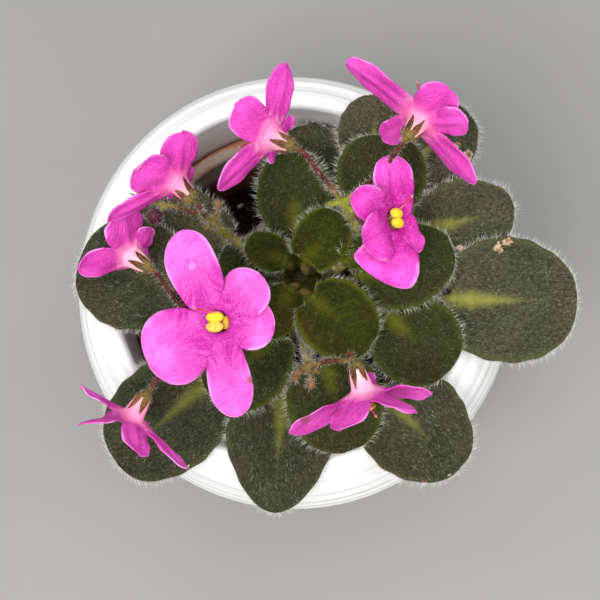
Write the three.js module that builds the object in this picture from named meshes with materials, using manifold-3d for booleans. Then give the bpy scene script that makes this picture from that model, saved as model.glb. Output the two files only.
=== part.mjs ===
// Potted African violet: a hairy-leaved rosette in flower, growing in a clay pot that stands inside
// a thrown, white-glazed outer pot. Millimetres, +Z up, origin at the centre of the outer pot's flat base.
import * as THREE from 'three';
import { mergeVertices } from 'three/addons/utils/BufferGeometryUtils.js';
import Module from 'manifold-3d';

const wasm = await Module();
wasm.setup();

// ---- Driving dimensions ----

const GAP = 0.3; // clearance between pieces that rest on or in each other

// Outer pot, thrown stoneware with a heavy rounded shoulder
const POT_HEIGHT = 100;
const POT_BASE_RADIUS = 37;
const POT_BELLY_RADIUS = 58.6;
const POT_BELLY_HEIGHT = 74;
const POT_MOUTH_RADIUS = 44.5;
const POT_LIP_ROUND = 1.9;
const POT_COLLAR_DEPTH = 24;
const POT_WALL = 5.5;
const POT_FLOOR = 6;
const POT_SIDES = 36;

// Clay pot inside it
const CLAY_RIM_RADIUS = 43;
const CLAY_RIM_DEPTH = 10;
const CLAY_RIM_WALL = 4.2;
const CLAY_TOP = 80;
const CLAY_BASE_RADIUS = 29;
const CLAY_WALL = 3.2;
const CLAY_FLOOR = 4;
const CLAY_DRAIN_RADIUS = 5;
const CLAY_SIDES = 32;
const CLAY_OFFSET = new THREE.Vector3(0, -0.8, POT_FLOOR + GAP);

// Potting soil inside the clay pot, with the buried part of the stem in it
const SOIL_TOP = 60;
const SOIL_CROWN = 64;
const SOIL_SIDES = 28;

// Short woody stem that carries every leaf and flower stalk
const STEM_AT = new THREE.Vector2(2, 2);
const STEM_TOP = 88;
const STEM_FOOT = 50;
const STEM_RADIUS = 4;
const STEM_TIP_RADIUS = 1.6;

// Leaves
const PETIOLE_WIDTH = 2.5;
const PETIOLE_DEPTH = 2.1;
const BLADE_THICKNESS = 1.5;
const LEAF_SIDES = 8;
const BLADE_RINGS = 7;

// Flowers
const TUBE_LENGTH = 5;
const TUBE_RADIUS = 1.5;
const THROAT_RADIUS = 2.4;
const PETAL_THICKNESS = 0.55;
const LOBE_COLUMNS = 4;
const LOBE_ROWS = [0.2, 0.42, 0.64, 0.84, 0.97];
const LOBE_BELLY = 0.58;
const LOBE_TILT = 9;
const CALYX_FLOOR = 0.9;
const SEPAL_LENGTH = 4.4;
const STYLE_REACH = 5;

// Flower stalks
const STALK_RADIUS = 1.15;
const PEDICEL_RADIUS = 0.7;
const TWIG_RADIUS = 0.5;
const ROD_SIDES = 6;

const radians = THREE.MathUtils.degToRad;
const UP = new THREE.Vector3(0, 0, 1);

// ---- Materials ----

function finish(colour, roughness) {
  return new THREE.MeshStandardMaterial({ color: colour, roughness, metalness: 0 });
}

// ---- Geometry helpers ----

// A closed geometry from a list of points and a list of triangles.
function solidFrom(points, triangles) {
  const geometry = new THREE.BufferGeometry();
  const coordinates = points.flatMap((p) => [p.x, p.y, p.z]);
  geometry.setAttribute('position', new THREE.Float32BufferAttribute(coordinates, 3));
  geometry.setIndex(triangles.flat());
  geometry.computeVertexNormals();
  return geometry;
}

function toSolid(geometry) {
  const bare = geometry.clone();
  bare.deleteAttribute('normal');
  bare.deleteAttribute('uv');
  const merged = mergeVertices(bare, 1e-4);
  const mesh = new wasm.Mesh({
    numProp: 3,
    vertProperties: merged.attributes.position.array,
    triVerts: new Uint32Array(merged.index.array),
  });
  return new wasm.Manifold(mesh);
}

function fromSolid(solid) {
  const mesh = solid.getMesh();
  const geometry = new THREE.BufferGeometry();
  geometry.setAttribute('position', new THREE.BufferAttribute(mesh.vertProperties, 3));
  geometry.setIndex(new THREE.BufferAttribute(mesh.triVerts, 1));
  geometry.computeVertexNormals();
  return geometry;
}

function joined(geometries) {
  return fromSolid(geometries.map(toSolid).reduce((whole, piece) => whole.add(piece)));
}

// A body of revolution about Z from a closed profile of [radius, height] points.
function turned(profile, sides) {
  const points = profile.map(([radius, height]) => new THREE.Vector2(radius, height));
  const geometry = new THREE.LatheGeometry(points, sides);
  geometry.rotateX(Math.PI / 2);
  return geometry;
}

// A smooth run of profile points through the given ones.
function smoothRun(points, count) {
  const curve = new THREE.CatmullRomCurve3(points.map(([r, h]) => new THREE.Vector3(r, h, 0)));
  return curve.getPoints(count).map((p) => [p.x, p.y]);
}

// An arc of profile points from one angle to another, in degrees.
function arcRun(centre, radius, from, to, count) {
  const run = [];
  for (let i = 0; i <= count; i += 1) {
    const angle = radians(from + ((to - from) * i) / count);
    run.push([centre[0] + radius * Math.cos(angle), centre[1] + radius * Math.sin(angle)]);
  }
  return run;
}

// A round rod of one thickness along a smooth curve.
function rod(points, radius, steps, sides = ROD_SIDES) {
  const section = new THREE.Shape();
  for (let side = 0; side < sides; side += 1) {
    const angle = (side / sides) * Math.PI * 2;
    if (side === 0) section.moveTo(radius, 0);
    else section.lineTo(radius * Math.cos(angle), radius * Math.sin(angle));
  }
  const extrudePath = new THREE.CatmullRomCurve3(points);
  return new THREE.ExtrudeGeometry(section, { steps, extrudePath, bevelEnabled: false });
}

// A skin over a stack of rings with equal counts, closed by a point or a flat cap at each end.
function lofted(rings, tip) {
  const sides = rings[0].length;
  const points = rings.flat();
  const triangles = [];
  for (let ring = 0; ring < rings.length - 1; ring += 1) {
    for (let side = 0; side < sides; side += 1) {
      const a = ring * sides + side;
      const b = ring * sides + ((side + 1) % sides);
      triangles.push([a, b, b + sides], [a, b + sides, a + sides]);
    }
  }
  const start = points.push(centroid(rings[0])) - 1;
  const end = points.push(tip ?? centroid(rings.at(-1))) - 1;
  const last = (rings.length - 1) * sides;
  for (let side = 0; side < sides; side += 1) {
    const next = (side + 1) % sides;
    triangles.push([start, next, side], [end, last + side, last + next]);
  }
  return solidFrom(points, triangles);
}

function centroid(points) {
  const sum = points.reduce((total, p) => total.add(p), new THREE.Vector3());
  return sum.divideScalar(points.length);
}

// Gives a sheet of quads a thickness: two skins, half the thickness each side, joined along every free edge.
function thickened(sheet, quads, thickness) {
  const normals = sheet.map(() => new THREE.Vector3());
  const edges = new Map();
  for (const quad of quads) {
    const [a, b, c, d] = quad.map((i) => sheet[i]);
    const normal = c.clone().sub(a).cross(d.clone().sub(b)).normalize();
    quad.forEach((corner, i) => {
      normals[corner].add(normal);
      const next = quad[(i + 1) % 4];
      const backward = `${next},${corner}`;
      if (edges.has(backward)) edges.delete(backward);
      else edges.set(`${corner},${next}`, [corner, next]);
    });
  }
  const offset = (p, i, side) => p.clone().addScaledVector(normals[i].clone().normalize(), (side * thickness) / 2);
  const points = [...sheet.map((p, i) => offset(p, i, 1)), ...sheet.map((p, i) => offset(p, i, -1))];
  const below = sheet.length;
  const triangles = [];
  for (const [a, b, c, d] of quads) {
    triangles.push([a, b, c], [a, c, d]);
    triangles.push([below + a, below + c, below + b], [below + a, below + d, below + c]);
  }
  for (const [a, b] of edges.values()) {
    triangles.push([a, below + a, below + b], [a, below + b, b]);
  }
  return solidFrom(points, triangles);
}

// ---- Outer pot ----

function outerPot() {
  const lip = POT_MOUTH_RADIUS + POT_LIP_ROUND;
  const lipHeight = POT_HEIGHT - POT_LIP_ROUND;
  const outside = smoothRun(
    [
      [POT_BASE_RADIUS + 1.2, 1.2],
      [POT_BASE_RADIUS + 10, 22],
      [POT_BELLY_RADIUS - 3, 48],
      [POT_BELLY_RADIUS, POT_BELLY_HEIGHT],
      [POT_BELLY_RADIUS - 2, 86],
      [POT_BELLY_RADIUS - 6, 94.5],
      [lip + 1, POT_HEIGHT - 0.5],
    ],
    12,
  );
  const rolledLip = arcRun([lip, lipHeight], POT_LIP_ROUND, 90, 180, 3);
  const collarFoot = POT_HEIGHT - POT_COLLAR_DEPTH;
  const inside = smoothRun(
    [
      [POT_MOUTH_RADIUS + 1.5, collarFoot - 3],
      [POT_BELLY_RADIUS - POT_WALL, POT_BELLY_HEIGHT - 8],
      [POT_BELLY_RADIUS - POT_WALL - 3, 42],
      [POT_BASE_RADIUS + 3, POT_FLOOR + 6],
      [POT_BASE_RADIUS - 2, POT_FLOOR],
    ],
    6,
  );
  const profile = [
    [0, 0],
    [POT_BASE_RADIUS, 0],
    ...outside,
    ...rolledLip,
    [POT_MOUTH_RADIUS, collarFoot],
    ...inside,
    [0, POT_FLOOR],
  ];
  return turned(profile, POT_SIDES);
}

// ---- Clay pot ----

function clayPot() {
  const height = CLAY_TOP - CLAY_OFFSET.z;
  const underRim = height - CLAY_RIM_DEPTH;
  const bodyRadius = CLAY_RIM_RADIUS - 2.2;
  const profile = [
    [CLAY_DRAIN_RADIUS, 0],
    [CLAY_BASE_RADIUS - 1, 0],
    [CLAY_BASE_RADIUS, 1],
    [bodyRadius, underRim],
    [CLAY_RIM_RADIUS - 0.6, underRim],
    [CLAY_RIM_RADIUS, underRim + 0.8],
    ...arcRun([CLAY_RIM_RADIUS - CLAY_RIM_WALL / 2, height - 2.1], CLAY_RIM_WALL / 2, 0, 180, 4),
    [bodyRadius - CLAY_WALL, underRim],
    [CLAY_BASE_RADIUS - CLAY_WALL, CLAY_FLOOR],
    [CLAY_DRAIN_RADIUS, CLAY_FLOOR],
    [CLAY_DRAIN_RADIUS, 0],
  ];
  return turned(profile, CLAY_SIDES);
}

// Inside radius of the clay pot's body at a height above the pot's own base.
function clayInside(height) {
  const underRim = CLAY_TOP - CLAY_OFFSET.z - CLAY_RIM_DEPTH;
  const share = (height - CLAY_FLOOR) / (underRim - CLAY_FLOOR);
  const low = CLAY_BASE_RADIUS - CLAY_WALL;
  const high = CLAY_RIM_RADIUS - 2.2 - CLAY_WALL;
  return low + (high - low) * share;
}

// ---- Soil ----

function pottingSoil() {
  const foot = CLAY_OFFSET.z + CLAY_FLOOR + GAP;
  const rest = CLAY_FLOOR + GAP;
  const block = turned(
    [
      [0, foot],
      [clayInside(rest) - GAP, foot],
      [clayInside(SOIL_TOP - CLAY_OFFSET.z) - GAP, SOIL_TOP],
      [24, SOIL_TOP + 1],
      [12, SOIL_CROWN - 1],
      [0, SOIL_CROWN],
    ],
    SOIL_SIDES,
  );
  block.translate(CLAY_OFFSET.x, CLAY_OFFSET.y, 0);
  const socket = new THREE.CylinderGeometry(STEM_RADIUS + GAP, STEM_RADIUS + GAP, 40, 20);
  socket.rotateX(Math.PI / 2);
  socket.translate(STEM_AT.x, STEM_AT.y, STEM_FOOT - GAP + 20);
  return fromSolid(toSolid(block).subtract(toSolid(socket)));
}

// ---- Stem ----

function stemRadius(height) {
  const share = THREE.MathUtils.clamp((height - 66) / (STEM_TOP - 66), 0, 1);
  return STEM_RADIUS + (STEM_TIP_RADIUS - STEM_RADIUS) * share * share;
}

function crownStem() {
  const heights = [STEM_FOOT, 66, 72, 77, 81, 84.5, STEM_TOP - 0.6];
  const side = heights.map((height) => [stemRadius(height), height]);
  const stem = turned([[0, STEM_FOOT], ...side, [0, STEM_TOP]], 16);
  stem.translate(STEM_AT.x, STEM_AT.y, 0);
  return stem;
}

// A point on a circle about the stem, at a bearing in degrees.
function around(bearing, radius, height) {
  const angle = radians(bearing);
  return new THREE.Vector3(
    STEM_AT.x + radius * Math.cos(angle),
    STEM_AT.y + radius * Math.sin(angle),
    height,
  );
}

// ---- Leaves ----

// Each leaf: name, bearing of the blade's base about the stem, its distance out and height, the blade's
// heading, length, width, height of its tip, the height at which the stalk leaves the stem, and the roll
// of the blade about its midrib. Degrees and millimetres.
const LEAVES = [
  { name: 'leaf_outer_1', bearing: -11, out: 39, base: 100.5, heading: -2, length: 31.5, width: 31.5, tip: 101, foot: 68 },
  { name: 'leaf_outer_2', bearing: 17, out: 33, base: 102, heading: 13, length: 23.5, width: 21, tip: 103, foot: 71, roll: 22 },
  { name: 'leaf_outer_3', bearing: 41, out: 33, base: 100.5, heading: 45, length: 25, width: 22, tip: 106.5, foot: 68 },
  { name: 'leaf_outer_4', bearing: 57, out: 34, base: 97, heading: 82, length: 16, width: 18, tip: 104, foot: 71 },
  { name: 'leaf_outer_5', bearing: 83, out: 27, base: 86, heading: 92, length: 14, width: 15, tip: 90, foot: 68 },
  { name: 'leaf_outer_6', bearing: 156, out: 21.5, base: 91.5, heading: 154, length: 23, width: 18, tip: 99, foot: 70 },
  { name: 'leaf_outer_7', bearing: 187, out: 30, base: 102, heading: 167, length: 26, width: 28.5, tip: 102.5, foot: 68 },
  { name: 'leaf_outer_8', bearing: 232, out: 34, base: 101, heading: 222, length: 32, width: 28, tip: 101, foot: 68 },
  { name: 'leaf_outer_9', bearing: 263.5, out: 29, base: 101.5, heading: 266, length: 31.5, width: 26.5, tip: 101, foot: 68 },
  { name: 'leaf_outer_10', bearing: 304, out: 36, base: 101, heading: 315, length: 28, width: 26.5, tip: 102, foot: 68 },
  { name: 'leaf_middle_1', bearing: -27, out: 25, base: 104.5, heading: -43, length: 21, width: 22.5, tip: 104, foot: 75 },
  { name: 'leaf_middle_2', bearing: -8, out: 16, base: 106, heading: 14, length: 24, width: 22, tip: 106, foot: 78 },
  { name: 'leaf_middle_3', bearing: 36, out: 25, base: 104.8, heading: 82, length: 19, width: 22.5, tip: 105.5, foot: 75 },
  { name: 'leaf_middle_4', bearing: 92, out: 11, base: 97, heading: 93, length: 20, width: 19, tip: 99, foot: 75 },
  { name: 'leaf_middle_5', bearing: 193, out: 10.5, base: 93.5, heading: 128, length: 13, width: 13, tip: 93.5, foot: 76.5 },
  { name: 'leaf_middle_6', bearing: 250, out: 17, base: 105, heading: 232, length: 22, width: 21.5, tip: 105, foot: 75 },
  { name: 'leaf_middle_7', bearing: 288, out: 24, base: 104.5, heading: 282, length: 23, width: 23.5, tip: 105, foot: 75 },
  { name: 'leaf_inner_1', bearing: 30, out: 3.2, base: 107, heading: 52, length: 14, width: 14, tip: 110, foot: 84 },
  { name: 'leaf_inner_2', bearing: 298, out: 8.5, base: 108, heading: 318, length: 19, width: 19, tip: 109, foot: 82 },
  { name: 'leaf_inner_3', bearing: 255, out: 5.5, base: 104, heading: 240, length: 13.5, width: 12, tip: 107, foot: 83 },
  { name: 'leaf_inner_4', bearing: 145, out: 3.5, base: 103, heading: 152, length: 10.5, width: 9.5, tip: 107, foot: 84 },
  { name: 'leaf_inner_5', bearing: 6, out: 12.5, base: 108, heading: 30, length: 8.5, width: 7.5, tip: 110, foot: 82 },
];

// Eight points round a leaf's section: a flattened oval, cupped, with a groove along the top of the midrib.
function leafSection(centre, across, normal, halfWidth, halfDepth, cup, groove, sweep) {
  const ring = [];
  for (let side = 0; side < LEAF_SIDES; side += 1) {
    const angle = (-side / LEAF_SIDES) * Math.PI * 2;
    const u = Math.cos(angle);
    const lift = halfDepth * Math.sin(angle) + cup * u * u - groove * (1 - u * u);
    ring.push(
      centre
        .clone()
        .addScaledVector(across, halfWidth * u)
        .addScaledVector(normal, lift)
        .addScaledVector(sweep, Math.abs(u) ** 1.5),
    );
  }
  return ring;
}

function leafSolid(leaf) {
  const foot = around(leaf.bearing, stemRadius(leaf.foot) + GAP, leaf.foot);
  const base = around(leaf.bearing, leaf.out, leaf.base);
  const forward = new THREE.Vector3(Math.cos(radians(leaf.heading)), Math.sin(radians(leaf.heading)), 0);
  const tip = base.clone().addScaledVector(forward, leaf.length).setZ(leaf.tip);
  const arch = leaf.length * 0.05;
  const middle = base.clone().lerp(tip, 0.5).addScaledVector(UP, arch * 2);
  const midrib = new THREE.QuadraticBezierCurve3(base, middle, tip);
  const lead = midrib.getTangent(0);
  const reach = foot.distanceTo(base);
  const stalk = new THREE.CubicBezierCurve3(
    foot,
    around(leaf.bearing, stemRadius(leaf.foot) + reach * 0.35, leaf.foot + reach * 0.12),
    base.clone().addScaledVector(lead, -reach * 0.3),
    base,
  );
  const rings = [];
  const addRing = (curve, at, halfWidth, halfDepth, cup, groove, sweepLength) => {
    const centre = curve.getPoint(at);
    const tangent = curve.getTangent(at);
    const across = tangent.clone().cross(UP).normalize();
    across.applyAxisAngle(tangent, radians(leaf.roll ?? 0));
    const normal = across.clone().cross(tangent);
    const sweep = tangent.clone().multiplyScalar(-sweepLength);
    rings.push(leafSection(centre, across, normal, halfWidth, halfDepth, cup, groove, sweep));
  };
  for (const at of [0, 0.35, 0.7]) addRing(stalk, at, PETIOLE_WIDTH / 2, PETIOLE_DEPTH / 2, 0, 0, 0);
  addRing(midrib, 0, PETIOLE_WIDTH * 0.6, PETIOLE_DEPTH / 2, 0, 0, 0);
  for (let ring = 1; ring < BLADE_RINGS; ring += 1) {
    const angle = (Math.PI * ring) / BLADE_RINGS;
    const along = (1 - Math.cos(angle)) / 2;
    const halfWidth = (leaf.width / 2) * Math.sin(angle) ** 0.85;
    const lobe = leaf.length * 0.1 * (1 - along) ** 2;
    addRing(midrib, along, halfWidth, BLADE_THICKNESS / 2, halfWidth * 0.08, 0.25, lobe);
  }
  return lofted(rings, tip);
}

// ---- Flowers ----

// Each flower: where its calyx starts, the way it faces as a bearing and a rise above level, how far its
// style leans, and its lobes. Each lobe has its place round the face (0 is the upper side, positive is to
// the left for someone the flower faces), its length and width, how far it opens from the axis at its root
// and at its tip, and a tilt where it isn't the usual one, so that lobes side by side lap like tiles.
const FLOWERS = [
  {
    name: 'flower_1',
    at: [3, 25.6, 134],
    faces: [150, -30],
    lobes: [
      [63, 15.6, 8.5, 72, 86],
      [-5, 11.8, 9.5, 65, 82],
      [-76, 15.6, 8.5, 74, 86],
      [118, 7, 5, 75, 82],
      [-139, 5.5, 5.5, 75, 90],
    ],
  },
  {
    name: 'flower_2',
    at: [-20.2, 14.2, 130],
    faces: [131, -22],
    style: [-0.8, 4.4],
    lobes: [
      [42, 10.7, 10.5, 66, 82],
      [-32, 8.4, 9.5, 62, 78],
      [-85, 16.7, 7, 70, 80],
      [118, 6, 6, 60, 62],
      [-150, 6, 6, 60, 62],
    ],
  },
  {
    name: 'flower_3',
    at: [-32, 0.1, 119],
    faces: [147, -28],
    lobes: [
      [46, 9.5, 10.5, 62, 84, -9],
      [100, 7, 8, 80, 92, -9],
      [-44, 12, 8.5, 66, 74],
      [-114, 11.5, 7, 30, 32],
      [168, 6.5, 7, 60, 66],
    ],
  },
  {
    name: 'flower_4',
    at: [-13.2, -14, 125],
    faces: [180, 82],
    style: [-5.2, 2.2],
    lobes: [
      [113, 20.6, 13.5, 80, 92],
      [-152, 16.8, 18.5, 80, 92],
      [-80, 19.5, 11.5, 80, 92],
      [42, 12, 12.5, 75, 98],
      [-17, 10.5, 11, 72, 98],
    ],
  },
  {
    name: 'flower_5',
    at: [28.3, 27.4, 134],
    faces: [60, -32],
    lobes: [
      [-78, 19.4, 8.5, 84, 92],
      [18, 9.2, 9, 66, 85, -9],
      [64, 8.9, 8.5, 72, 85, -9],
      [115, 18.5, 7.5, 85, 94, -9],
      [-152, 11.5, 12, 75, 92],
    ],
  },
  {
    name: 'flower_6',
    at: [21, 9.6, 122],
    faces: [6, 42],
    lobes: [
      [-106, 11.5, 10, 78, 88],
      [-50, 12, 9, 75, 122],
      [14, 10, 10.5, 72, 115],
      [114, 8, 8, 50, 55],
      [65, 15.6, 15, 78, 92],
    ],
  },
  {
    name: 'flower_7',
    at: [16.4, -22.6, 124],
    faces: [284, -20],
    lobes: [
      [87, 17.8, 9, 66, 80, -9],
      [38, 10.5, 12, 55, 66, -9],
      [-35, 13.9, 8, 66, 74],
      [-86, 14, 6.5, 84, 88],
      [-150, 5, 5, 105, 125],
    ],
  },
  {
    name: 'flower_8',
    at: [-32.3, -29.1, 118],
    faces: [236, -15],
    lobes: [
      [92, 13, 6, 76, 88, -9],
      [38, 12, 9.5, 60, 68, -9],
      [-42, 10, 9, 60, 68],
      [-90, 16, 6.5, 74, 82],
      [180, 8.5, 8, 66, 80],
    ],
  },
];

// The flower's own frame: X to its upper side, Z along its axis towards its face.
function flowerFrame(flower) {
  const [bearing, rise] = flower.faces.map(radians);
  const level = new THREE.Vector3(Math.cos(bearing), Math.sin(bearing), 0);
  const axis = level.clone().multiplyScalar(Math.cos(rise)).addScaledVector(UP, Math.sin(rise));
  const upper = level.clone().multiplyScalar(-Math.sin(rise)).addScaledVector(UP, Math.cos(rise));
  const frame = new THREE.Matrix4().makeBasis(upper, axis.clone().cross(upper), axis);
  return frame.setPosition(...flower.at);
}

// A lobe's width at a share of its length: narrow at the root, widest past the middle, round at the tip.
function lobeWidthShare(along) {
  if (along < LOBE_BELLY) return 0.34 + 0.66 * Math.sin((Math.PI / 2) * (along / LOBE_BELLY)) ** 1.3;
  return Math.sqrt(1 - ((along - LOBE_BELLY) / (1 - LOBE_BELLY)) ** 2.2);
}

// The corolla is one sheet: a tube, open at its foot, that divides at the throat into five lobes.
function corollaGeometry(flower) {
  const lobes = flower.lobes.map(([at, length, width, root, end, tilt = LOBE_TILT]) => ({
    at: radians(at),
    length,
    width,
    root: radians(root),
    end: radians(end),
    tilt: radians(tilt),
  }));
  lobes.sort((a, b) => a.at - b.at);
  const count = lobes.length;
  const notches = lobes.map((lobe, i) => {
    const previous = lobes[(i + count - 1) % count];
    const before = i === 0 ? previous.at - Math.PI * 2 : previous.at;
    return (before + lobe.at) / 2;
  });
  notches.push(notches[0] + Math.PI * 2);
  const ringAngles = [];
  for (let i = 0; i < count; i += 1) {
    for (let column = 0; column < LOBE_COLUMNS; column += 1) {
      const share = column / LOBE_COLUMNS;
      ringAngles.push(notches[i] + (notches[i + 1] - notches[i]) * share);
    }
  }
  const sheet = [];
  const quads = [];
  const foot = CALYX_FLOOR + GAP;
  const tubeRings = [
    [TUBE_RADIUS, foot],
    [THROAT_RADIUS, foot + TUBE_LENGTH],
  ];
  const around360 = ringAngles.length;
  tubeRings.forEach(([radius, height], ring) => {
    for (const angle of ringAngles) {
      sheet.push(new THREE.Vector3(radius * Math.cos(angle), radius * Math.sin(angle), height));
    }
    if (ring === 0) return;
    for (let i = 0; i < around360; i += 1) {
      const next = (i + 1) % around360;
      const low = (ring - 1) * around360;
      quads.push([low + next, low + i, low + around360 + i, low + around360 + next]);
    }
  });
  const throat = (tubeRings.length - 1) * around360;
  lobes.forEach((lobe, i) => {
    const outward = new THREE.Vector3(Math.cos(lobe.at), Math.sin(lobe.at), 0);
    const across = new THREE.Vector3(-Math.sin(lobe.at), Math.cos(lobe.at), 0);
    let previous = [];
    for (let column = 0; column <= LOBE_COLUMNS; column += 1) {
      previous.push(throat + ((i * LOBE_COLUMNS + column) % around360));
    }
    const centre = outward.clone().multiplyScalar(THROAT_RADIUS).setZ(foot + TUBE_LENGTH);
    let reached = 0;
    for (const along of LOBE_ROWS) {
      const open = lobe.root + (lobe.end - lobe.root) * ((along + reached) / 2);
      const way = outward.clone().multiplyScalar(Math.sin(open)).addScaledVector(UP, Math.cos(open));
      const normal = outward.clone().multiplyScalar(-Math.cos(open)).addScaledVector(UP, Math.sin(open));
      const tilted = across.clone().applyAxisAngle(way, -lobe.tilt);
      centre.addScaledVector(way, lobe.length * (along - reached));
      reached = along;
      const halfWidth = (lobe.width / 2) * lobeWidthShare(along);
      const bulge = along === LOBE_ROWS.at(-1) ? lobe.length * (1 - along) : 0;
      const row = [];
      for (let column = 0; column <= LOBE_COLUMNS; column += 1) {
        const u = (column / LOBE_COLUMNS) * 2 - 1;
        const point = centre
          .clone()
          .addScaledVector(tilted, halfWidth * u)
          .addScaledVector(way, (1 - u * u) * bulge)
          .addScaledVector(normal, u * u * halfWidth * 0.1);
        row.push(sheet.push(point) - 1);
      }
      for (let column = 0; column < LOBE_COLUMNS; column += 1) {
        quads.push([previous[column + 1], previous[column], row[column], row[column + 1]]);
      }
      previous = row;
    }
  });
  return thickened(sheet, quads, PETAL_THICKNESS);
}

// The style leans out of the throat to one side, past the anthers.
function pistilGeometry(flower) {
  const foot = CALYX_FLOOR + GAP;
  const [leanX, leanY] = flower.style ?? [-0.8, -4.6];
  const styleTip = new THREE.Vector3(leanX, leanY, foot + TUBE_LENGTH + STYLE_REACH);
  const ovary = new THREE.SphereGeometry(0.55, 6, 4);
  ovary.scale(1, 1, 1.6);
  ovary.translate(-0.35, 0, foot + 1);
  const style = rod(
    [
      new THREE.Vector3(-0.35, 0, foot + 1.5),
      new THREE.Vector3(-1.45, -0.1, foot + TUBE_LENGTH),
      new THREE.Vector3(-1.45, 0, foot + TUBE_LENGTH + 1).lerp(styleTip, 0.25),
      styleTip,
    ],
    0.26,
    6,
    5,
  );
  const stigma = new THREE.SphereGeometry(0.42, 5, 4);
  stigma.translate(styleTip.x, styleTip.y, styleTip.z);
  return joined([ovary, style, stigma]);
}

function stamenGeometry() {
  const foot = CALYX_FLOOR + GAP;
  const top = foot + TUBE_LENGTH + 1.2;
  const pieces = [-1, 1].flatMap((side) => {
    const filament = rod(
      [
        new THREE.Vector3(0.72, side * 0.3, foot + 1),
        new THREE.Vector3(0.85, side * 0.4, foot + 3.5),
        new THREE.Vector3(0.8, side * 1, top),
      ],
      0.2,
      3,
      4,
    );
    const anther = new THREE.SphereGeometry(1, 8, 6);
    anther.scale(1.6, 1.15, 0.95);
    anther.translate(0.8, side * 1.08, top + 0.6);
    return [filament, anther];
  });
  return joined(pieces);
}

// ---- Flower stalks ----

// Each stalk: its bearing and height at the stem, the points it passes through up to the joint where it
// divides, the flowers it carries with a point each flower's own stalk passes through, its bracts as
// [bearing, rise, length], and its small buds as [x, y, z, radius].
const STALKS = [
  {
    name: 'flower_stalk_1',
    bearing: 25,
    foot: 79.5,
    route: [
      [9.5, 5.4, 92],
      [15, 8, 101],
      [17.2, 10.4, 108],
      [15.8, 13, 114],
      [13.9, 15.6, 120],
    ],
    flowers: [
      ['flower_1', [9.2, 20, 128]],
      ['flower_5', [21.5, 20, 127]],
      ['flower_6', [16.5, 12.6, 121.5]],
    ],
    bracts: [
      [190, 20, 4.5],
      [20, 30, 4],
    ],
    buds: [[11.4, 18.4, 124, 1]],
  },
  {
    name: 'flower_stalk_2',
    bearing: 168,
    foot: 81,
    route: [
      [-4, 3.2, 95],
      [-8, 5.4, 100.5],
      [-11.6, 7.8, 105.5],
      [-15, 9.8, 111],
      [-17.5, 11.8, 116],
    ],
    flowers: [['flower_2', [-19.4, 13, 123]]],
    bracts: [
      [222, 10, 3],
      [40, 45, 3.5],
    ],
    buds: [[-15.6, 15, 121, 1.1]],
  },
  {
    name: 'flower_stalk_3',
    bearing: 222,
    foot: 79,
    route: [
      [-5.2, -4.2, 91],
      [-13, -9.5, 102],
      [-19.7, -13.9, 112],
    ],
    flowers: [
      ['flower_3', [-27, -6, 117]],
      ['flower_4', [-16.5, -14.2, 119]],
      ['flower_8', [-25.5, -21.5, 117]],
    ],
    bracts: [
      [260, 10, 4],
      [120, 20, 4],
    ],
    buds: [],
  },
  {
    name: 'flower_stalk_4',
    bearing: 273,
    foot: 79,
    route: [
      [2.6, -8.5, 92],
      [3.4, -14.5, 101],
      [5, -19.5, 109],
      [5.6, -23, 115],
    ],
    flowers: [['flower_7', [13, -21.4, 121.5]]],
    bracts: [
      [200, 10, 3.5],
      [330, -10, 3],
    ],
    buds: [
      [2.3, -25.7, 116, 1.1],
      [6.2, -27.4, 116, 1.2],
    ],
  },
];

// The second branch of the second stalk, with a flower's calyx left after its petals fell, and a closed bud
const SPENT_CALYX = { at: [-34.2, 18.1, 112.5], faces: [155, 10] };
const SPENT_ROUTE = [
  [-17.5, 11.8, 116],
  [-20.8, 13.5, 116.2],
  [-28.8, 16.6, 114],
];
const CLOSED_BUD_AT = new THREE.Vector3(-32.4, 14.2, 111.6);
const CLOSED_BUD_RADIUS = 2.1;

const point = (coordinates) => new THREE.Vector3(...coordinates);

// The calyx: a small cup round the foot of the tube, with five narrow sepals.
function calyxPieces(flower) {
  const inner = TUBE_RADIUS + PETAL_THICKNESS / 2 + GAP;
  const outer = inner + 0.45;
  const cup = turned(
    [
      [0, 0],
      [outer, 1.1],
      [outer, 2],
      [inner, 2],
      [inner, CALYX_FLOOR],
      [0, CALYX_FLOOR],
    ],
    8,
  );
  const pieces = [cup];
  for (let i = 0; i < 5; i += 1) {
    const angle = radians(36 + i * 72);
    const outward = new THREE.Vector3(Math.cos(angle), Math.sin(angle), 0);
    const across = new THREE.Vector3(-Math.sin(angle), Math.cos(angle), 0);
    const rings = [0, 0.35, 0.7].map((along) => {
      const centre = outward.clone().multiplyScalar(outer - 0.15 + along * 0.95);
      centre.z = 1.2 + along * SEPAL_LENGTH;
      const half = 0.95 * (1 - along * along);
      return [
        centre.clone().addScaledVector(outward, -0.22),
        centre.clone().addScaledVector(across, -half),
        centre.clone().addScaledVector(outward, 0.25),
        centre.clone().addScaledVector(across, half),
      ];
    });
    const tip = outward.clone().multiplyScalar(outer + 0.95);
    tip.z = 1.2 + SEPAL_LENGTH;
    pieces.push(lofted(rings, tip));
  }
  const frame = flowerFrame(flower);
  return pieces.map((piece) => piece.applyMatrix4(frame));
}

// The stretch of stalk that carries one flower, ending square under its calyx.
function pedicel(from, through, flower) {
  const at = point(flower.at);
  const axis = new THREE.Vector3().setFromMatrixColumn(flowerFrame(flower), 2);
  const behind = at.clone().addScaledVector(axis, -2);
  return rod([from, ...through, behind, at.addScaledVector(axis, 0.4)], PEDICEL_RADIUS, 6);
}

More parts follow.
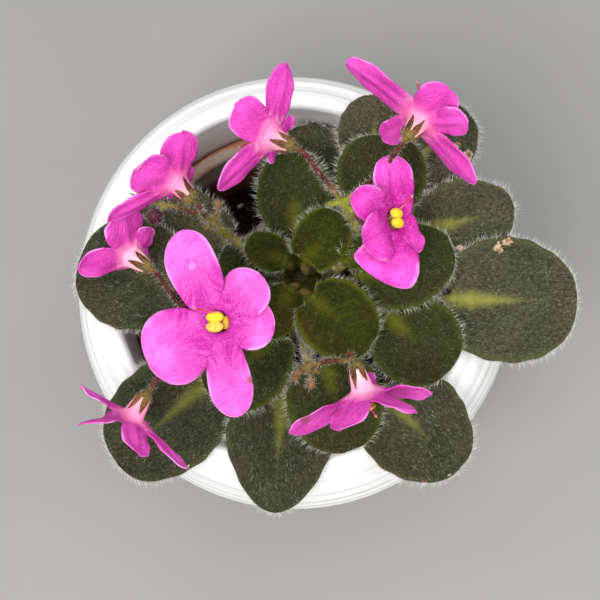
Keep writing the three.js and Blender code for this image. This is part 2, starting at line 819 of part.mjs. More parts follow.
// A small pointed leaf at the joint of a stalk.
function bract(joint, bearing, rise, length) {
  const level = new THREE.Vector3(Math.cos(radians(bearing)), Math.sin(radians(bearing)), 0);
  const way = level.multiplyScalar(Math.cos(radians(rise))).addScaledVector(UP, Math.sin(radians(rise)));
  const across = way.clone().cross(UP).normalize();
  const normal = across.clone().cross(way);
  const rings = [0, 0.4, 0.75].map((along) => {
    const centre = joint.clone().addScaledVector(way, 0.4 + along * length);
    const half = 0.35 + 0.75 * Math.sin(Math.PI * along);
    return [
      centre.clone().addScaledVector(across, half),
      centre.clone().addScaledVector(normal, -0.35),
      centre.clone().addScaledVector(across, -half),
      centre.clone().addScaledVector(normal, 0.35),
    ];
  });
  return lofted(rings, joint.clone().addScaledVector(way, 0.4 + length));
}

function roundBud(at, radius, sides, rings) {
  const bud = new THREE.SphereGeometry(radius, sides, rings);
  bud.scale(1, 1, 1.2);
  return bud.translate(at.x, at.y, at.z);
}

function stalkPieces(stalk) {
  const foot = around(stalk.bearing, stemRadius(stalk.foot) + GAP + 0.1, stalk.foot);
  const outward = around(stalk.bearing, stemRadius(stalk.foot) + 1.5, stalk.foot + 0.8);
  const route = stalk.route.map(point);
  const joint = route.at(-1);
  const pieces = [rod([foot, outward, ...route], STALK_RADIUS, 9), roundBud(joint, 1.3, 7, 5)];
  for (const [name, through] of stalk.flowers) {
    const flower = FLOWERS.find((candidate) => candidate.name === name);
    pieces.push(pedicel(joint, [point(through)], flower), ...calyxPieces(flower));
  }
  for (const [bearing, rise, length] of stalk.bracts) pieces.push(bract(joint, bearing, rise, length));
  for (const [x, y, z, radius] of stalk.buds) {
    const at = new THREE.Vector3(x, y, z);
    const middle = joint.clone().lerp(at, 0.5).addScaledVector(UP, 0.4);
    pieces.push(rod([joint, middle, at], TWIG_RADIUS, 3), roundBud(at, radius, 7, 5));
  }
  return pieces;
}

// The twig that carries the spent calyx and, on a short side branch, the closed bud.
function spentBranch() {
  const route = SPENT_ROUTE.map(point);
  const fork = route.at(-1);
  const under = CLOSED_BUD_AT.clone().sub(fork).setLength(CLOSED_BUD_RADIUS + GAP);
  const seat = CLOSED_BUD_AT.clone().sub(under);
  return [
    pedicel(route[0], route.slice(1), SPENT_CALYX),
    ...calyxPieces(SPENT_CALYX),
    rod([fork.clone().addScaledVector(UP, -0.2), fork.clone().lerp(seat, 0.5), seat], TWIG_RADIUS, 2),
  ];
}

function closedBud() {
  return roundBud(CLOSED_BUD_AT, CLOSED_BUD_RADIUS, 12, 8);
}

// ---- Assembly ----

const plant = new THREE.Group();

function add(name, geometry, material, position) {
  const mesh = new THREE.Mesh(geometry, material);
  mesh.name = name;
  if (position) mesh.position.copy(position);
  plant.add(mesh);
}

add('outer_pot', outerPot(), finish(0xf3f1ee, 0.25));
add('clay_pot', clayPot(), finish(0xa8623f, 0.9), CLAY_OFFSET);
add('potting_soil', pottingSoil(), finish(0x17120e, 1));
add('crown_stem', crownStem(), finish(0x6a5a30, 0.8));
for (const leaf of LEAVES) add(leaf.name, leafSolid(leaf), finish(0x3b4426, 0.85));
for (const flower of FLOWERS) {
  const frame = flowerFrame(flower);
  add(`${flower.name}_corolla`, corollaGeometry(flower).applyMatrix4(frame), finish(0xd83cc0, 0.6));
  add(`${flower.name}_stamens`, stamenGeometry().applyMatrix4(frame), finish(0xf6c21c, 0.6));
  add(`${flower.name}_pistil`, pistilGeometry(flower).applyMatrix4(frame), finish(0xc8408c, 0.6));
}
for (const stalk of STALKS) {
  const extra = stalk.name === 'flower_stalk_2' ? spentBranch() : [];
  add(stalk.name, joined([...stalkPieces(stalk), ...extra]), finish(0x6d2f30, 0.7));
}
add('closed_bud', closedBud(), finish(0x6b1f2e, 0.7));

export default plant;
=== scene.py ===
import math

import bmesh
import bpy
import numpy as np
from mathutils import Matrix, Vector, noise


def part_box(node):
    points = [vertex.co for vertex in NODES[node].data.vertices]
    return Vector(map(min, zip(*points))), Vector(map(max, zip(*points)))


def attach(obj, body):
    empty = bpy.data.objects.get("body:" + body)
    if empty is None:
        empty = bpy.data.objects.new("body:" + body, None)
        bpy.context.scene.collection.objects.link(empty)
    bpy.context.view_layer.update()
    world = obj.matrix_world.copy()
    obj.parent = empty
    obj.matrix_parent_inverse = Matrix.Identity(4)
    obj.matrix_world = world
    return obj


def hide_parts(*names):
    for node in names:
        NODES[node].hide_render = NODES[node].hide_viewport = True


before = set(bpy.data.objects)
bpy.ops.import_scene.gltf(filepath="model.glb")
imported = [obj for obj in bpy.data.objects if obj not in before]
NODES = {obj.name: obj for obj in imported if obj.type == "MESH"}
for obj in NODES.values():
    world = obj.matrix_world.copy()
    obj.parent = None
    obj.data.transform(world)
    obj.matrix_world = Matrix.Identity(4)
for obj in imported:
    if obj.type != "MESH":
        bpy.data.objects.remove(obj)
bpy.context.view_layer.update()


# ---- Camera, lamps and floor ------------------------------------------------
# A pot seen from almost straight above, standing on a plain pale floor
# under one large soft lamp, with weaker lamps that open up the shadows.

CAMERA_PLACE = Vector((0.01644, -0.04039, 0.400))
CAMERA_LOOK = Vector((-0.04517, 0.11588, -0.99224))
FLOOR_HALF = 3.0


def new_object(name, data):
    made = bpy.data.objects.new(name, data)
    bpy.context.scene.collection.objects.link(made)
    return made


camera_data = bpy.data.cameras.new("camera")
camera_data.lens = 72
camera_data.sensor_width = 36
camera_data.clip_start = 0.01
camera = new_object("camera", camera_data)
camera_right = CAMERA_LOOK.cross(Vector((0, 1, 0))).normalized()
camera_up = camera_right.cross(CAMERA_LOOK).normalized()
camera.matrix_world = Matrix.Translation(CAMERA_PLACE) @ Matrix(
    (camera_right, camera_up, -CAMERA_LOOK)
).transposed().to_4x4()
bpy.context.scene.camera = camera


def lamp(name, place, aim, size, watts, colour):
    """A round soft lamp that points from its place to where it is aimed."""
    data = bpy.data.lights.new(name, "AREA")
    data.shape = "DISK"
    data.size = size
    data.energy = watts
    data.color = colour
    made = new_object(name, data)
    made.location = place
    made.rotation_euler = (Vector(aim) - Vector(place)).to_track_quat("-Z", "Y").to_euler()


lamp("window_lamp", (-0.26, -0.38, 1.04), aim=(0, 0, 0.09), size=0.55, watts=9.6, colour=(1.0, 0.99, 0.97))
lamp("overhead_lamp", (0.08, 0.30, 1.25), aim=(0, 0, 0.08), size=0.9, watts=7.0, colour=(0.98, 0.99, 1.0))
lamp("side_lamp", (0.9, -0.2, 0.6), aim=(0, 0, 0.06), size=0.6, watts=2.8, colour=(1.0, 0.98, 0.95))

world = bpy.data.worlds.new("soft_room")
world.use_nodes = True
room_light = world.node_tree.nodes["Background"].inputs
room_light["Color"].default_value = (0.93, 0.95, 1.0, 1)
room_light["Strength"].default_value = 0.68
bpy.context.scene.world = world
bpy.context.scene.view_settings.view_transform = "Standard"
bpy.context.scene.view_settings.look = "None"


def add_node(tree, kind, inputs=None, **properties):
    """A shader node with its properties set and its inputs filled or linked."""
    made = tree.nodes.new(kind)
    for name, value in properties.items():
        setattr(made, name, value)
    for key, value in (inputs or {}).items():
        if isinstance(value, bpy.types.NodeSocket):
            tree.links.new(value, made.inputs[key])
        else:
            made.inputs[key].default_value = value
    return made


def calculate(tree, operation, first, second=0.0):
    return add_node(tree, "ShaderNodeMath", {0: first, 1: second}, operation=operation).outputs[0]


def times(tree, first, second):
    return calculate(tree, "MULTIPLY", first, second)


def plus(tree, first, second):
    return calculate(tree, "ADD", first, second)


def minus(tree, first, second):
    return calculate(tree, "SUBTRACT", first, second)


def stretch(tree, value, low, high, bottom=0.0, top=1.0):
    """A smooth step of value from bottom at low to top at high."""
    limits = {"Value": value, "From Min": low, "From Max": high, "To Min": bottom, "To Max": top}
    made = add_node(tree, "ShaderNodeMapRange", limits, interpolation_type="SMOOTHSTEP")
    return made.outputs["Result"]


def mixed(tree, share, first, second, blend="MIX"):
    colours = {0: share, 6: first, 7: second}
    return add_node(tree, "ShaderNodeMix", colours, data_type="RGBA", blend_type=blend).outputs[2]


def position(tree):
    return add_node(tree, "ShaderNodeNewGeometry").outputs["Position"]


def noise_map(tree, scale, detail=3.0):
    inputs = {"Vector": position(tree), "Scale": scale, "Detail": detail, "Roughness": 0.55}
    return add_node(tree, "ShaderNodeTexNoise", inputs).outputs["Fac"]


def mottle_group():
    """Soft patches with a chosen size and contrast, used by every surface of the plant and its pots."""
    tree = bpy.data.node_groups.new("mottle", "ShaderNodeTree")
    for name, value in (("Scale", 100.0), ("Detail", 3.0), ("Low", 0.4), ("High", 0.6)):
        socket = tree.interface.new_socket(name, in_out="INPUT", socket_type="NodeSocketFloat")
        socket.default_value = value
    for name in ("Mask", "Height"):
        tree.interface.new_socket(name, in_out="OUTPUT", socket_type="NodeSocketFloat")
    given = tree.nodes.new("NodeGroupInput").outputs
    result = tree.nodes.new("NodeGroupOutput").inputs
    height = noise_map(tree, given["Scale"], given["Detail"])
    tree.links.new(stretch(tree, height, given["Low"], given["High"]), result["Mask"])
    tree.links.new(height, result["Height"])
    return tree


MOTTLE = mottle_group()


def placed(tree, group, **values):
    """The outputs of a node group that is placed in a material with its own values."""
    made = tree.nodes.new("ShaderNodeGroup")
    made.node_tree = group
    for name, value in values.items():
        made.inputs[name].default_value = value
    return made.outputs


def mottle(tree, scale, low, high, detail=3.0):
    return placed(tree, MOTTLE, Scale=scale, Detail=detail, Low=low, High=high)


def new_material(name, roughness=0.5, **constants):
    """A material with one Principled shader, and its tree and shader."""
    material = bpy.data.materials.new(name)
    material.use_nodes = True
    tree = material.node_tree
    shader = tree.nodes["Principled BSDF"]
    shader.inputs["Roughness"].default_value = roughness
    for key, value in constants.items():
        shader.inputs[key.replace("_", " ")].default_value = value
    return material, tree, shader


def paint(tree, shader, colour):
    tree.links.new(colour, shader.inputs["Base Color"])


def bumped(tree, shader, height, distance, strength):
    inputs = {"Height": height, "Distance": distance, "Strength": strength}
    bump = add_node(tree, "ShaderNodeBump", inputs)
    tree.links.new(bump.outputs["Normal"], shader.inputs["Normal"])


def new_mesh(name, points, faces, materials=()):
    mesh = bpy.data.meshes.new(name)
    mesh.from_pydata(points, [], faces)
    for material in materials:
        mesh.materials.append(material)
    return mesh


def floor_material():
    material, tree, shader = new_material("pale_floor", roughness=0.7)
    patches = mottle(tree, 3.0, 0.3, 0.7)
    paint(tree, shader, mixed(tree, patches["Mask"], (0.225, 0.220, 0.207, 1), (0.260, 0.254, 0.240, 1)))
    bumped(tree, shader, mottle(tree, 900.0, 0.2, 0.8)["Height"], 0.0001, 0.3)
    return material


floor_corners = [(x * FLOOR_HALF, y * FLOOR_HALF, 0) for x, y in ((-1, -1), (1, -1), (1, 1), (-1, 1))]
floor = new_object("floor", new_mesh("floor", floor_corners, [(0, 1, 2, 3)], [floor_material()]))


# ---- Outer pot --------------------------------------------------------------
# A thrown stoneware pot with a heavy round shoulder, dipped in white glaze.
# The turning leaves fine rings, and the foot is wiped bare before firing.

RING_PITCH = 0.0047
RING_DEPTH = 0.00020
WALL_RADIUS = 0.0455
OVAL_WALL = 0.00022
WAVY_WALL = 0.00012
# Grey bands painted as the shade of the turning rings are long round the pot and close together in height.
RING_SHADE_STRETCH = (14.0, 14.0, 950.0)
# The glaze ends between these heights, and the foot below is bare.
BARE_BELOW, GLAZED_ABOVE = 0.0034, 0.0042
POT_SIDES = 112
POT_STEP = 0.0011
# A profile is smooth except where it turns by more degrees than this.
SHARP_CORNER = 50.0
MERGE_DISTANCE = 2e-6


class Shape:
    """Gathers closed bodies into the points and faces of one mesh, each with the number of its material."""

    def __init__(self):
        self.bodies, self.faces, self.materials = [], [], []
        self.count = 0

    def put(self, points, faces, material=0):
        rows = faces.tolist() if isinstance(faces, np.ndarray) else faces
        self.bodies.append(np.asarray(points, float))
        self.faces += [[int(i) + self.count for i in row] for row in rows]
        self.materials += [material] * len(rows)
        self.count += len(points)
        return self

    def points(self):
        return np.vstack(self.bodies)


def piece(name, shape, materials, replaced, facts=None):
    """A smooth mesh piece that rides on the body and stands for CAD nodes; its materials read the facts."""
    mesh = new_mesh(name, shape.points().tolist(), shape.faces, materials)
    mesh.polygons.foreach_set("use_smooth", np.ones(len(mesh.polygons), bool))
    mesh.polygons.foreach_set("material_index", np.array(shape.materials, np.int32))
    for fact_name, values in (facts or {}).items():
        every = np.zeros(shape.count, np.float32)
        every[: len(values)] = values
        mesh.attributes.new(fact_name, "FLOAT", "POINT").data.foreach_set("value", every)
    made = new_object(name, mesh)
    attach(made, "root")
    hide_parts(*replaced)
    return made


def merged_copy(node):
    """A bmesh of a CAD node with its split corners merged."""
    copy = bmesh.new()
    copy.from_mesh(NODES[node].data)
    bmesh.ops.remove_doubles(copy, verts=copy.verts, dist=1e-6)
    copy.verts.ensure_lookup_table()
    return copy


def turned_profile(node, centre=(0.0, 0.0)):
    """The half outline of a turned CAD node, as a chain of (radius, height) points."""
    copy = merged_copy(node)
    cx, cy = centre
    on_line = {v for v in copy.verts if abs(v.co.y - cy) < 1e-6 and v.co.x - cx > -1e-6}
    start = min(on_line, key=lambda v: (round(v.co.z, 5), v.co.x))
    chain = [start]
    seen = {start}
    while True:
        steps = [e.other_vert(chain[-1]) for e in chain[-1].link_edges]
        steps = [v for v in steps if v in on_line and v not in seen]
        if not steps:
            break
        if len(chain) == 1:
            steps.sort(key=lambda v: (-round(v.co.x, 5), v.co.z))
        chain.append(steps[0])
        seen.add(chain[-1])
    points = np.array([(v.co.x - cx, v.co.z) for v in chain])
    copy.free()
    return points


def curve_point(a, b, c, d, t):
    """The point at share t from b to c on the smooth curve through a, b, c and d."""
    square, cube = 2 * a - 5 * b + 4 * c - d, 3 * b - a - 3 * c + d
    return 0.5 * (2 * b + (c - a) * t + square * t**2 + cube * t**3)


def smooth_chain(points, step, closed=False):
    """A dense chain through the points, smooth except at their sharp corners."""
    if closed:
        points = np.vstack([points, points[:1]])
    runs = [[points[0]]]
    for i in range(1, len(points) - 1):
        runs[-1].append(points[i])
        before, after = points[i] - points[i - 1], points[i + 1] - points[i]
        cosine = before @ after / np.linalg.norm(before) / np.linalg.norm(after)
        if np.degrees(np.arccos(np.clip(cosine, -1, 1))) > SHARP_CORNER:
            runs.append([points[i]])
    runs[-1].append(points[-1])
    dense = []
    for run in runs:
        run = np.array(run)
        padded = np.vstack([2 * run[0] - run[1], run, 2 * run[-1] - run[-2]])
        for k in range(1, len(padded) - 2):
            a, b, c, d = padded[k - 1 : k + 3]
            count = max(1, int(np.ceil(np.linalg.norm(c - b) / step)))
            dense += [curve_point(a, b, c, d, t) for t in np.arange(count) / count]
    dense.append(points[-1])
    dense = np.array(dense)
    rounded = dense.copy()
    rounded[1:-1] = dense[1:-1] * 0.5 + (dense[:-2] + dense[2:]) * 0.25
    rounded[rounded[:, 0] < 1e-5, 0] = 0
    return rounded


def turned_grid(profile, sides, shape, centre=(0.0, 0.0), closed=False):
    """Vertices and faces of a turned body; shape moves the (radius, height) of each point by its angle."""
    angles = np.arange(sides) * 2 * np.pi / sides
    radii, heights = (np.repeat(column[:, None], sides, 1) for column in profile.T)
    radii, heights = shape(radii, heights, angles[None, :])
    x, y = centre[0] + radii * np.cos(angles), centre[1] + radii * np.sin(angles)
    count = len(profile)
    faces = []
    for i in range(count if closed else count - 1):
        low, high = i * sides, ((i + 1) % count) * sides
        for j in range(sides):
            k = (j + 1) % sides
            faces.append((low + j, low + k, high + k, high + j))
    return np.stack([x, y, heights], -1).reshape(-1, 3), faces


def weld(made):
    """Merges the points that meet on the axis of a turned body."""
    edit = bmesh.new()
    edit.from_mesh(made.data)
    bmesh.ops.remove_doubles(edit, verts=edit.verts, dist=MERGE_DISTANCE)
    bmesh.ops.recalc_face_normals(edit, faces=edit.faces)
    edit.to_mesh(made.data)
    edit.free()
    made.data.polygons.foreach_set("use_smooth", np.ones(len(made.data.polygons), bool))


def vector_math(tree, operation, first, second, output="Vector"):
    return add_node(tree, "ShaderNodeVectorMath", {0: first, 1: second}, operation=operation).outputs[output]


def pot_glaze():
    """White glaze with faint clouds, stains and specks, grey bands painted as the shade of the turning rings,
    and bare clay at the foot.
    """
    material, tree, shader = new_material("pot_glaze", roughness=0.2, Specular_IOR_Level=0.5)
    place = position(tree)
    height = add_node(tree, "ShaderNodeSeparateXYZ", {0: place}).outputs["Z"]
    clouds = mottle(tree, 22.0, 0.35, 0.7)
    white = mixed(tree, clouds["Mask"], (0.875, 0.87, 0.862, 1), (0.81, 0.80, 0.79, 1))
    stains = mottle(tree, 34.0, 0.62, 0.78, 5.0)
    stained = mixed(tree, times(tree, stains["Mask"], 0.15), white, (0.84, 0.78, 0.64, 1))
    # Painted shade: grey bands along the turning rings, darker than the white glaze.
    turned = vector_math(tree, "MULTIPLY", place, RING_SHADE_STRETCH)
    ring_shade_inputs = {"Vector": turned, "Scale": 1.0, "Detail": 2.0}
    ring_shade = add_node(tree, "ShaderNodeTexNoise", ring_shade_inputs).outputs["Fac"]
    ring_shaded = mixed(tree, stretch(tree, ring_shade, 0.47, 0.70, 0.0, 0.62), stained, (0.62, 0.61, 0.60, 1))
    specks = mottle(tree, 1300.0, 0.71, 0.76, 1.0)
    speckled = mixed(tree, times(tree, specks["Mask"], 0.35), ring_shaded, (0.45, 0.38, 0.3, 1))
    edge = plus(tree, height, times(tree, clouds["Height"], 0.003))
    bare = stretch(tree, edge, GLAZED_ABOVE, BARE_BELOW)
    grains = mottle(tree, 500.0, 0.3, 0.7)
    clay = mixed(tree, grains["Mask"], (0.42, 0.31, 0.2, 1), (0.5, 0.39, 0.27, 1))
    paint(tree, shader, mixed(tree, bare, speckled, clay))
    gloss = stretch(tree, clouds["Height"], 0.3, 0.7, 0.14, 0.26)
    tree.links.new(plus(tree, gloss, times(tree, bare, 0.6)), shader.inputs["Roughness"])
    bumped(tree, shader, mottle(tree, 260.0, 0.3, 0.7, 2.0)["Height"], 0.0003, 0.35)
    return material


def throwing_rings(radii, heights, angles):
    """Fine rings that climb slowly round the pot, strongest on the shoulder, on a slightly uneven wall."""
    climb = heights / RING_PITCH + angles / (2 * np.pi)
    depth = RING_DEPTH * np.clip((heights - 0.01) / 0.04, 0.25, 1.0)
    outside = np.clip((radii - WALL_RADIUS) / 0.004, 0, 1)
    wave = np.sin(2 * np.pi * climb) + 0.5 * np.sin(2 * np.pi * climb * 1.63 + 1.0)
    uneven = OVAL_WALL * np.sin(2 * angles + 0.7 + heights * 30) + WAVY_WALL * np.sin(3 * angles + 2.0)
    share = np.clip(radii / 0.03, 0, 1)
    return radii + (depth * wave * outside + uneven) * share, np.maximum(heights, 0)


pot_chain = smooth_chain(turned_profile("outer_pot"), POT_STEP)
pot_shape = Shape().put(*turned_grid(pot_chain, POT_SIDES, throwing_rings))
weld(piece("glazed_pot", pot_shape, [pot_glaze()], ["outer_pot"]))


# ---- Clay pot ---------------------------------------------------------------
# A plain flowerpot of fired red clay with a rounded rim, the pot the plant
# grows in. Hard water has left white salts on the wall above the soil.

CLAY_SIDES = 96
CLAY_STEP = 0.0013
RIM_SWELL = 0.0019
RIM_BELOW_TOP = 0.062
WALL_WAVE = 0.00015
TURNING_MARKS = 0.00006


def centre_of(node):
    low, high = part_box(node)
    return ((low.x + high.x) / 2, (low.y + high.y) / 2)


def clay_material():
    """Red clay with white salts on the bare wall inside, and a dark band low on the inside wall, just above
    the soil.
    """
    material, tree, shader = new_material("fired_clay", roughness=0.85, Specular_IOR_Level=0.2)
    low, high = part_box("clay_pot")
    radius = (high.x - low.x) / 2
    parts = add_node(tree, "ShaderNodeSeparateXYZ", {0: position(tree)}).outputs
    x = minus(tree, parts["X"], (low.x + high.x) / 2)
    y = minus(tree, parts["Y"], (low.y + high.y) / 2)
    reach = calculate(tree, "SQRT", plus(tree, times(tree, x, x), times(tree, y, y)))
    swell = times(tree, stretch(tree, calculate(tree, "DIVIDE", y, radius), -1.0, 1.0), RIM_SWELL)
    inward = plus(tree, minus(tree, radius, reach), swell)
    depth = minus(tree, high.z, parts["Z"])
    clouds = mottle(tree, 70.0, 0.3, 0.7)
    clay = mixed(tree, clouds["Mask"], (0.34, 0.085, 0.032, 1), (0.46, 0.15, 0.065, 1))
    salts = mottle(tree, 130.0, 0.26, 0.52, 6.0)
    crust = times(tree, salts["Mask"], stretch(tree, inward, 0.0004, 0.0016, 0.0, 0.92))
    deposit = mixed(tree, clouds["Mask"], (0.40, 0.34, 0.285, 1), (0.28, 0.20, 0.15, 1))
    salted = mixed(tree, crust, clay, deposit)
    edge = plus(tree, depth, times(tree, clouds["Height"], 0.006))
    # Darker towards the bottom of the inside wall, in a band just above the soil.
    low_band = times(tree, stretch(tree, edge, 0.0095, 0.0165), stretch(tree, inward, 0.002, 0.003))
    banded = mixed(tree, low_band, salted, (0.060, 0.018, 0.010, 1))
    grit = mottle(tree, 1500.0, 0.62, 0.70, 2.0)
    paint(tree, shader, mixed(tree, times(tree, grit["Mask"], 0.2), banded, (0.5, 0.36, 0.26, 1)))
    grain = mottle(tree, 800.0, 0.2, 0.8, 4.0)
    bumped(tree, shader, plus(tree, grain["Height"], times(tree, salts["Mask"], 0.8)), 0.0004, 0.6)
    return material


def hand_turned(radii, heights, angles):
    """Slight waves in the wall, and a rim out of round that nearly fills the mouth on one side."""
    wave = WALL_WAVE * np.sin(angles * 3 + 1.0) + TURNING_MARKS * np.sin(heights * 2600)
    on_rim = np.clip((heights - RIM_BELOW_TOP) / 0.006, 0, 1)
    swell = RIM_SWELL * (1 + np.sin(angles)) / 2 * on_rim
    return radii + wave * np.clip(radii / 0.02, 0, 1) + swell, heights


clay_centre = centre_of("clay_pot")
clay_chain = smooth_chain(turned_profile("clay_pot", clay_centre), CLAY_STEP, closed=True)[:-1]
clay_shape = Shape().put(*turned_grid(clay_chain, CLAY_SIDES, hand_turned, clay_centre, closed=True))
weld(piece("flowerpot", clay_shape, [clay_material()], ["clay_pot"]))


# ---- Potting soil -----------------------------------------------------------
# Dark damp peat with bits of bark and white perlite, filled into the clay pot
# round the foot of the stem.

SOIL_RINGS = 40
SOIL_SIDES = 120
SOIL_FOOT_SHARE = 0.72
SOIL_FALL = 0.0035
SOIL_BELOW_TOP = 0.0006
SOIL_LUMPS = 0.0012
SOIL_CRUST = 0.0008
CRUMBS = 900
CRUMB_SIZES = (0.0003, 0.0013)
BARK_SHARE = 0.22
PERLITE = 26
PERLITE_SIZES = (0.0008, 0.0014)
LARGE_PERLITE = (-0.0101, 0.0203)
LARGE_PERLITE_SIZE = 0.0015
GRAIN_SQUASH = 0.7
# How far crumbs keep from the wall, and how much of their size they stand proud.
CRUMB_MARGIN = 0.0015
CRUMB_LIFT = 0.3


def soil_material(name, dark, light):
    material, tree, shader = new_material(name, roughness=0.95, Specular_IOR_Level=0.03)
    lumps = mottle(tree, 260.0, 0.35, 0.68, 5.0)
    fine = mottle(tree, 1400.0, 0.55, 0.75, 3.0)
    paler = tuple(min(1.0, c * 1.9) for c in light[:3]) + (1,)
    earth = mixed(tree, lumps["Mask"], dark, light)
    paint(tree, shader, mixed(tree, times(tree, fine["Mask"], 0.5), earth, paler))
    bumped(tree, shader, lumps["Height"], 0.0012, 0.8)
    return material


def points_and_faces(edit):
    """The points and faces of a bmesh, which is then let go."""
    points = np.array([v.co for v in edit.verts])
    faces = [[v.index for v in f.verts] for f in edit.faces]
    edit.free()
    return points, faces


def ball(subdivisions):
    edit = bmesh.new()
    bmesh.ops.create_icosphere(edit, subdivisions=subdivisions, radius=1.0)
    return points_and_faces(edit)


def rock(random, size):
    """A small lump: a rounded twelve-cornered grain, pushed out of shape."""
    points, faces = ball(1)
    points *= random.uniform(0.65, 1.3, (len(points), 1))
    points *= np.array([random.uniform(0.7, 1.4), random.uniform(0.7, 1.2), GRAIN_SQUASH]) * size
    turn = np.array(Matrix.Rotation(random.uniform(0, 2 * np.pi), 3, "Z"))
    tilt = np.array(Matrix.Rotation(random.uniform(-0.6, 0.6), 3, "X"))
    return points @ tilt @ turn, faces


soil_centre = centre_of("potting_soil")
soil_low, soil_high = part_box("potting_soil")
soil_radius = (soil_high.x - soil_low.x) / 2


def soil_height(x, y):
    """The lie of the soil: higher round the stem, lumpy all over."""
    reach = math.hypot(x - soil_centre[0], y - soil_centre[1]) / soil_radius
    lumps = noise.fractal(Vector((x, y, 0.3)) * 170, 0.9, 2.2, 4) * SOIL_LUMPS
    crust = abs(noise.noise(Vector((x, y, 1.3)) * 620)) * SOIL_CRUST
    return soil_high.z - SOIL_FALL * min(1, reach) ** 1.3 - SOIL_BELOW_TOP + lumps + crust


def soil_place(reach, angle):
    return soil_centre[0] + reach * math.cos(angle), soil_centre[1] + reach * math.sin(angle)


soil_angles = [2 * math.pi * side / SOIL_SIDES for side in range(SOIL_SIDES)]
soil_points = [(*soil_centre, soil_height(*soil_centre))]
for ring in range(1, SOIL_RINGS + 1):
    for angle in soil_angles:
        x, y = soil_place(soil_radius * ring / SOIL_RINGS, angle)
        soil_points.append((x, y, soil_height(x, y)))
for angle in soil_angles:
    soil_points.append((*soil_place(soil_radius * SOIL_FOOT_SHARE, angle), soil_low.z))
soil_points.append((*soil_centre, soil_low.z))
soil_faces = []
foot_start = 1 + SOIL_RINGS * SOIL_SIDES
for side in range(SOIL_SIDES):
    following = (side + 1) % SOIL_SIDES
    soil_faces.append((0, 1 + side, 1 + following))
    soil_faces.append((len(soil_points) - 1, foot_start + following, foot_start + side))
for ring_start in range(1, foot_start, SOIL_SIDES):
    for side in range(SOIL_SIDES):
        a, b = ring_start + side, ring_start + (side + 1) % SOIL_SIDES
        soil_faces.append((a, a + SOIL_SIDES, b + SOIL_SIDES, b))
soil = Shape().put(soil_points, soil_faces)
soil_random = np.random.default_rng(5)
for index in range(CRUMBS + PERLITE):
    angle = soil_random.uniform(0, 2 * np.pi)
    reach = (soil_radius - CRUMB_MARGIN) * math.sqrt(soil_random.uniform(0.02, 1))
    perlite = index >= CRUMBS
    size = soil_random.uniform(*(PERLITE_SIZES if perlite else CRUMB_SIZES))
    x, y = soil_place(reach, angle)
    if index == CRUMBS:
        (x, y), size = LARGE_PERLITE, LARGE_PERLITE_SIZE
    points, faces = rock(soil_random, size)
    bark = soil_random.uniform() < BARK_SHARE
    place = (x, y, soil_height(x, y) + size * CRUMB_LIFT)
    soil.put(points + place, faces, 2 if perlite else int(bark))
piece(
    "peat",
    soil,
    [
        soil_material("damp_peat", (0.003, 0.0022, 0.0016, 1), (0.010, 0.007, 0.005, 1)),
        soil_material("bark_bits", (0.012, 0.007, 0.004, 1), (0.040, 0.024, 0.012, 1)),
        soil_material("perlite_bits", (0.30, 0.24, 0.22, 1), (0.48, 0.42, 0.40, 1)),
    ],
    ["potting_soil"],
)


# ---- Crown stem -------------------------------------------------------------
# The short, thick, woody stem at the heart of the rosette, scarred where old
# leaves came off. Its top ends in a tuft of tiny hairy leaves that still unfold.

STEM_SIDES = 40
STEM_STEP = 0.0006
SCAR_DEPTH = 0.00018
YOUNG_LEAVES = 11
YOUNG_ROWS = 20
YOUNG_SIDES = 18
YOUNG_THICK = 0.00028
# Length of the youngest leaf and how much longer each next one is, the turn
# between them, and where they leave the stem: below its top and off its middle.
YOUNG_LENGTH, YOUNG_LONGER = 0.0040, 0.0009
YOUNG_TURN = 2.4
YOUNG_BELOW_TOP, YOUNG_OFF_MIDDLE = 0.0024, 0.0013
YOUNG_HAIRS = 1500
YOUNG_HAIR_LENGTHS = (0.0006, 0.0016)
HAIR_RADIUS = 0.000026
# The corners of a three-sided hair, and a direction that no hair takes.
HAIR_CORNERS = (0, 2.0944, 4.1888)
SKEW = np.array([0.31, 0.87, 0.39])


def two_toned(name, pattern, dark, light, relief=None, **constants):
    """A material whose colour and relief follow one mottle, given by its scale, low, high and detail."""
    material, tree, shader = new_material(name, **constants)
    tone = mottle(tree, *pattern)
    paint(tree, shader, mixed(tree, tone["Mask"], dark, light))
    if relief:
        bumped(tree, shader, tone["Height"], *relief)
    return material


def hair_material(name, colour, shade):
    return two_toned(name, (300.0, 0.3, 0.7), colour, shade, Specular_IOR_Level=0.5)


stem_centre = centre_of("crown_stem")
stem_chain = smooth_chain(turned_profile("crown_stem", stem_centre), STEM_STEP)


def scarred(radii, heights, angles):
    scar = np.sin(heights * 2400 + 5 * angles) * np.sin(angles * 4 - heights * 700)
    return np.maximum(0, radii + SCAR_DEPTH * scar * np.clip(radii / 0.002, 0, 1)), heights


def unit(vectors):
    return vectors / np.maximum(np.linalg.norm(vectors, axis=-1, keepdims=True), 1e-12)


def grid_faces(rows, sides, start, end):
    """Faces of a closed tube of points, with a single point that closes each end."""
    i = np.arange(rows - 1)[:, None] * sides
    j = np.arange(sides)[None, :]
    k = (j + 1) % sides
    quads = np.stack([i + j, i + k, i + sides + k, i + sides + j], -1).reshape(-1, 4).tolist()
    last = (rows - 1) * sides
    caps = [[start, (s + 1) % sides, s] for s in range(sides)]
    caps += [[end, last + s, last + (s + 1) % sides] for s in range(sides)]
    return quads + caps


def closed_tube(rings):
    """Points and faces of a tube of rings, closed at each end by a point in the middle of its ring."""
    rows, sides = rings.shape[:2]
    points = np.vstack([rings.reshape(-1, 3), rings[0].mean(0), rings[-1].mean(0)])
    return points, grid_faces(rows, sides, len(points) - 2, len(points) - 1)


def round_turn(sides):
    """Cosines and sines of the angles round a ring, shaped to multiply rows of points."""
    angle = np.arange(sides) * 2 * np.pi / sides
    return np.cos(angle)[None, :, None], np.sin(angle)[None, :, None]


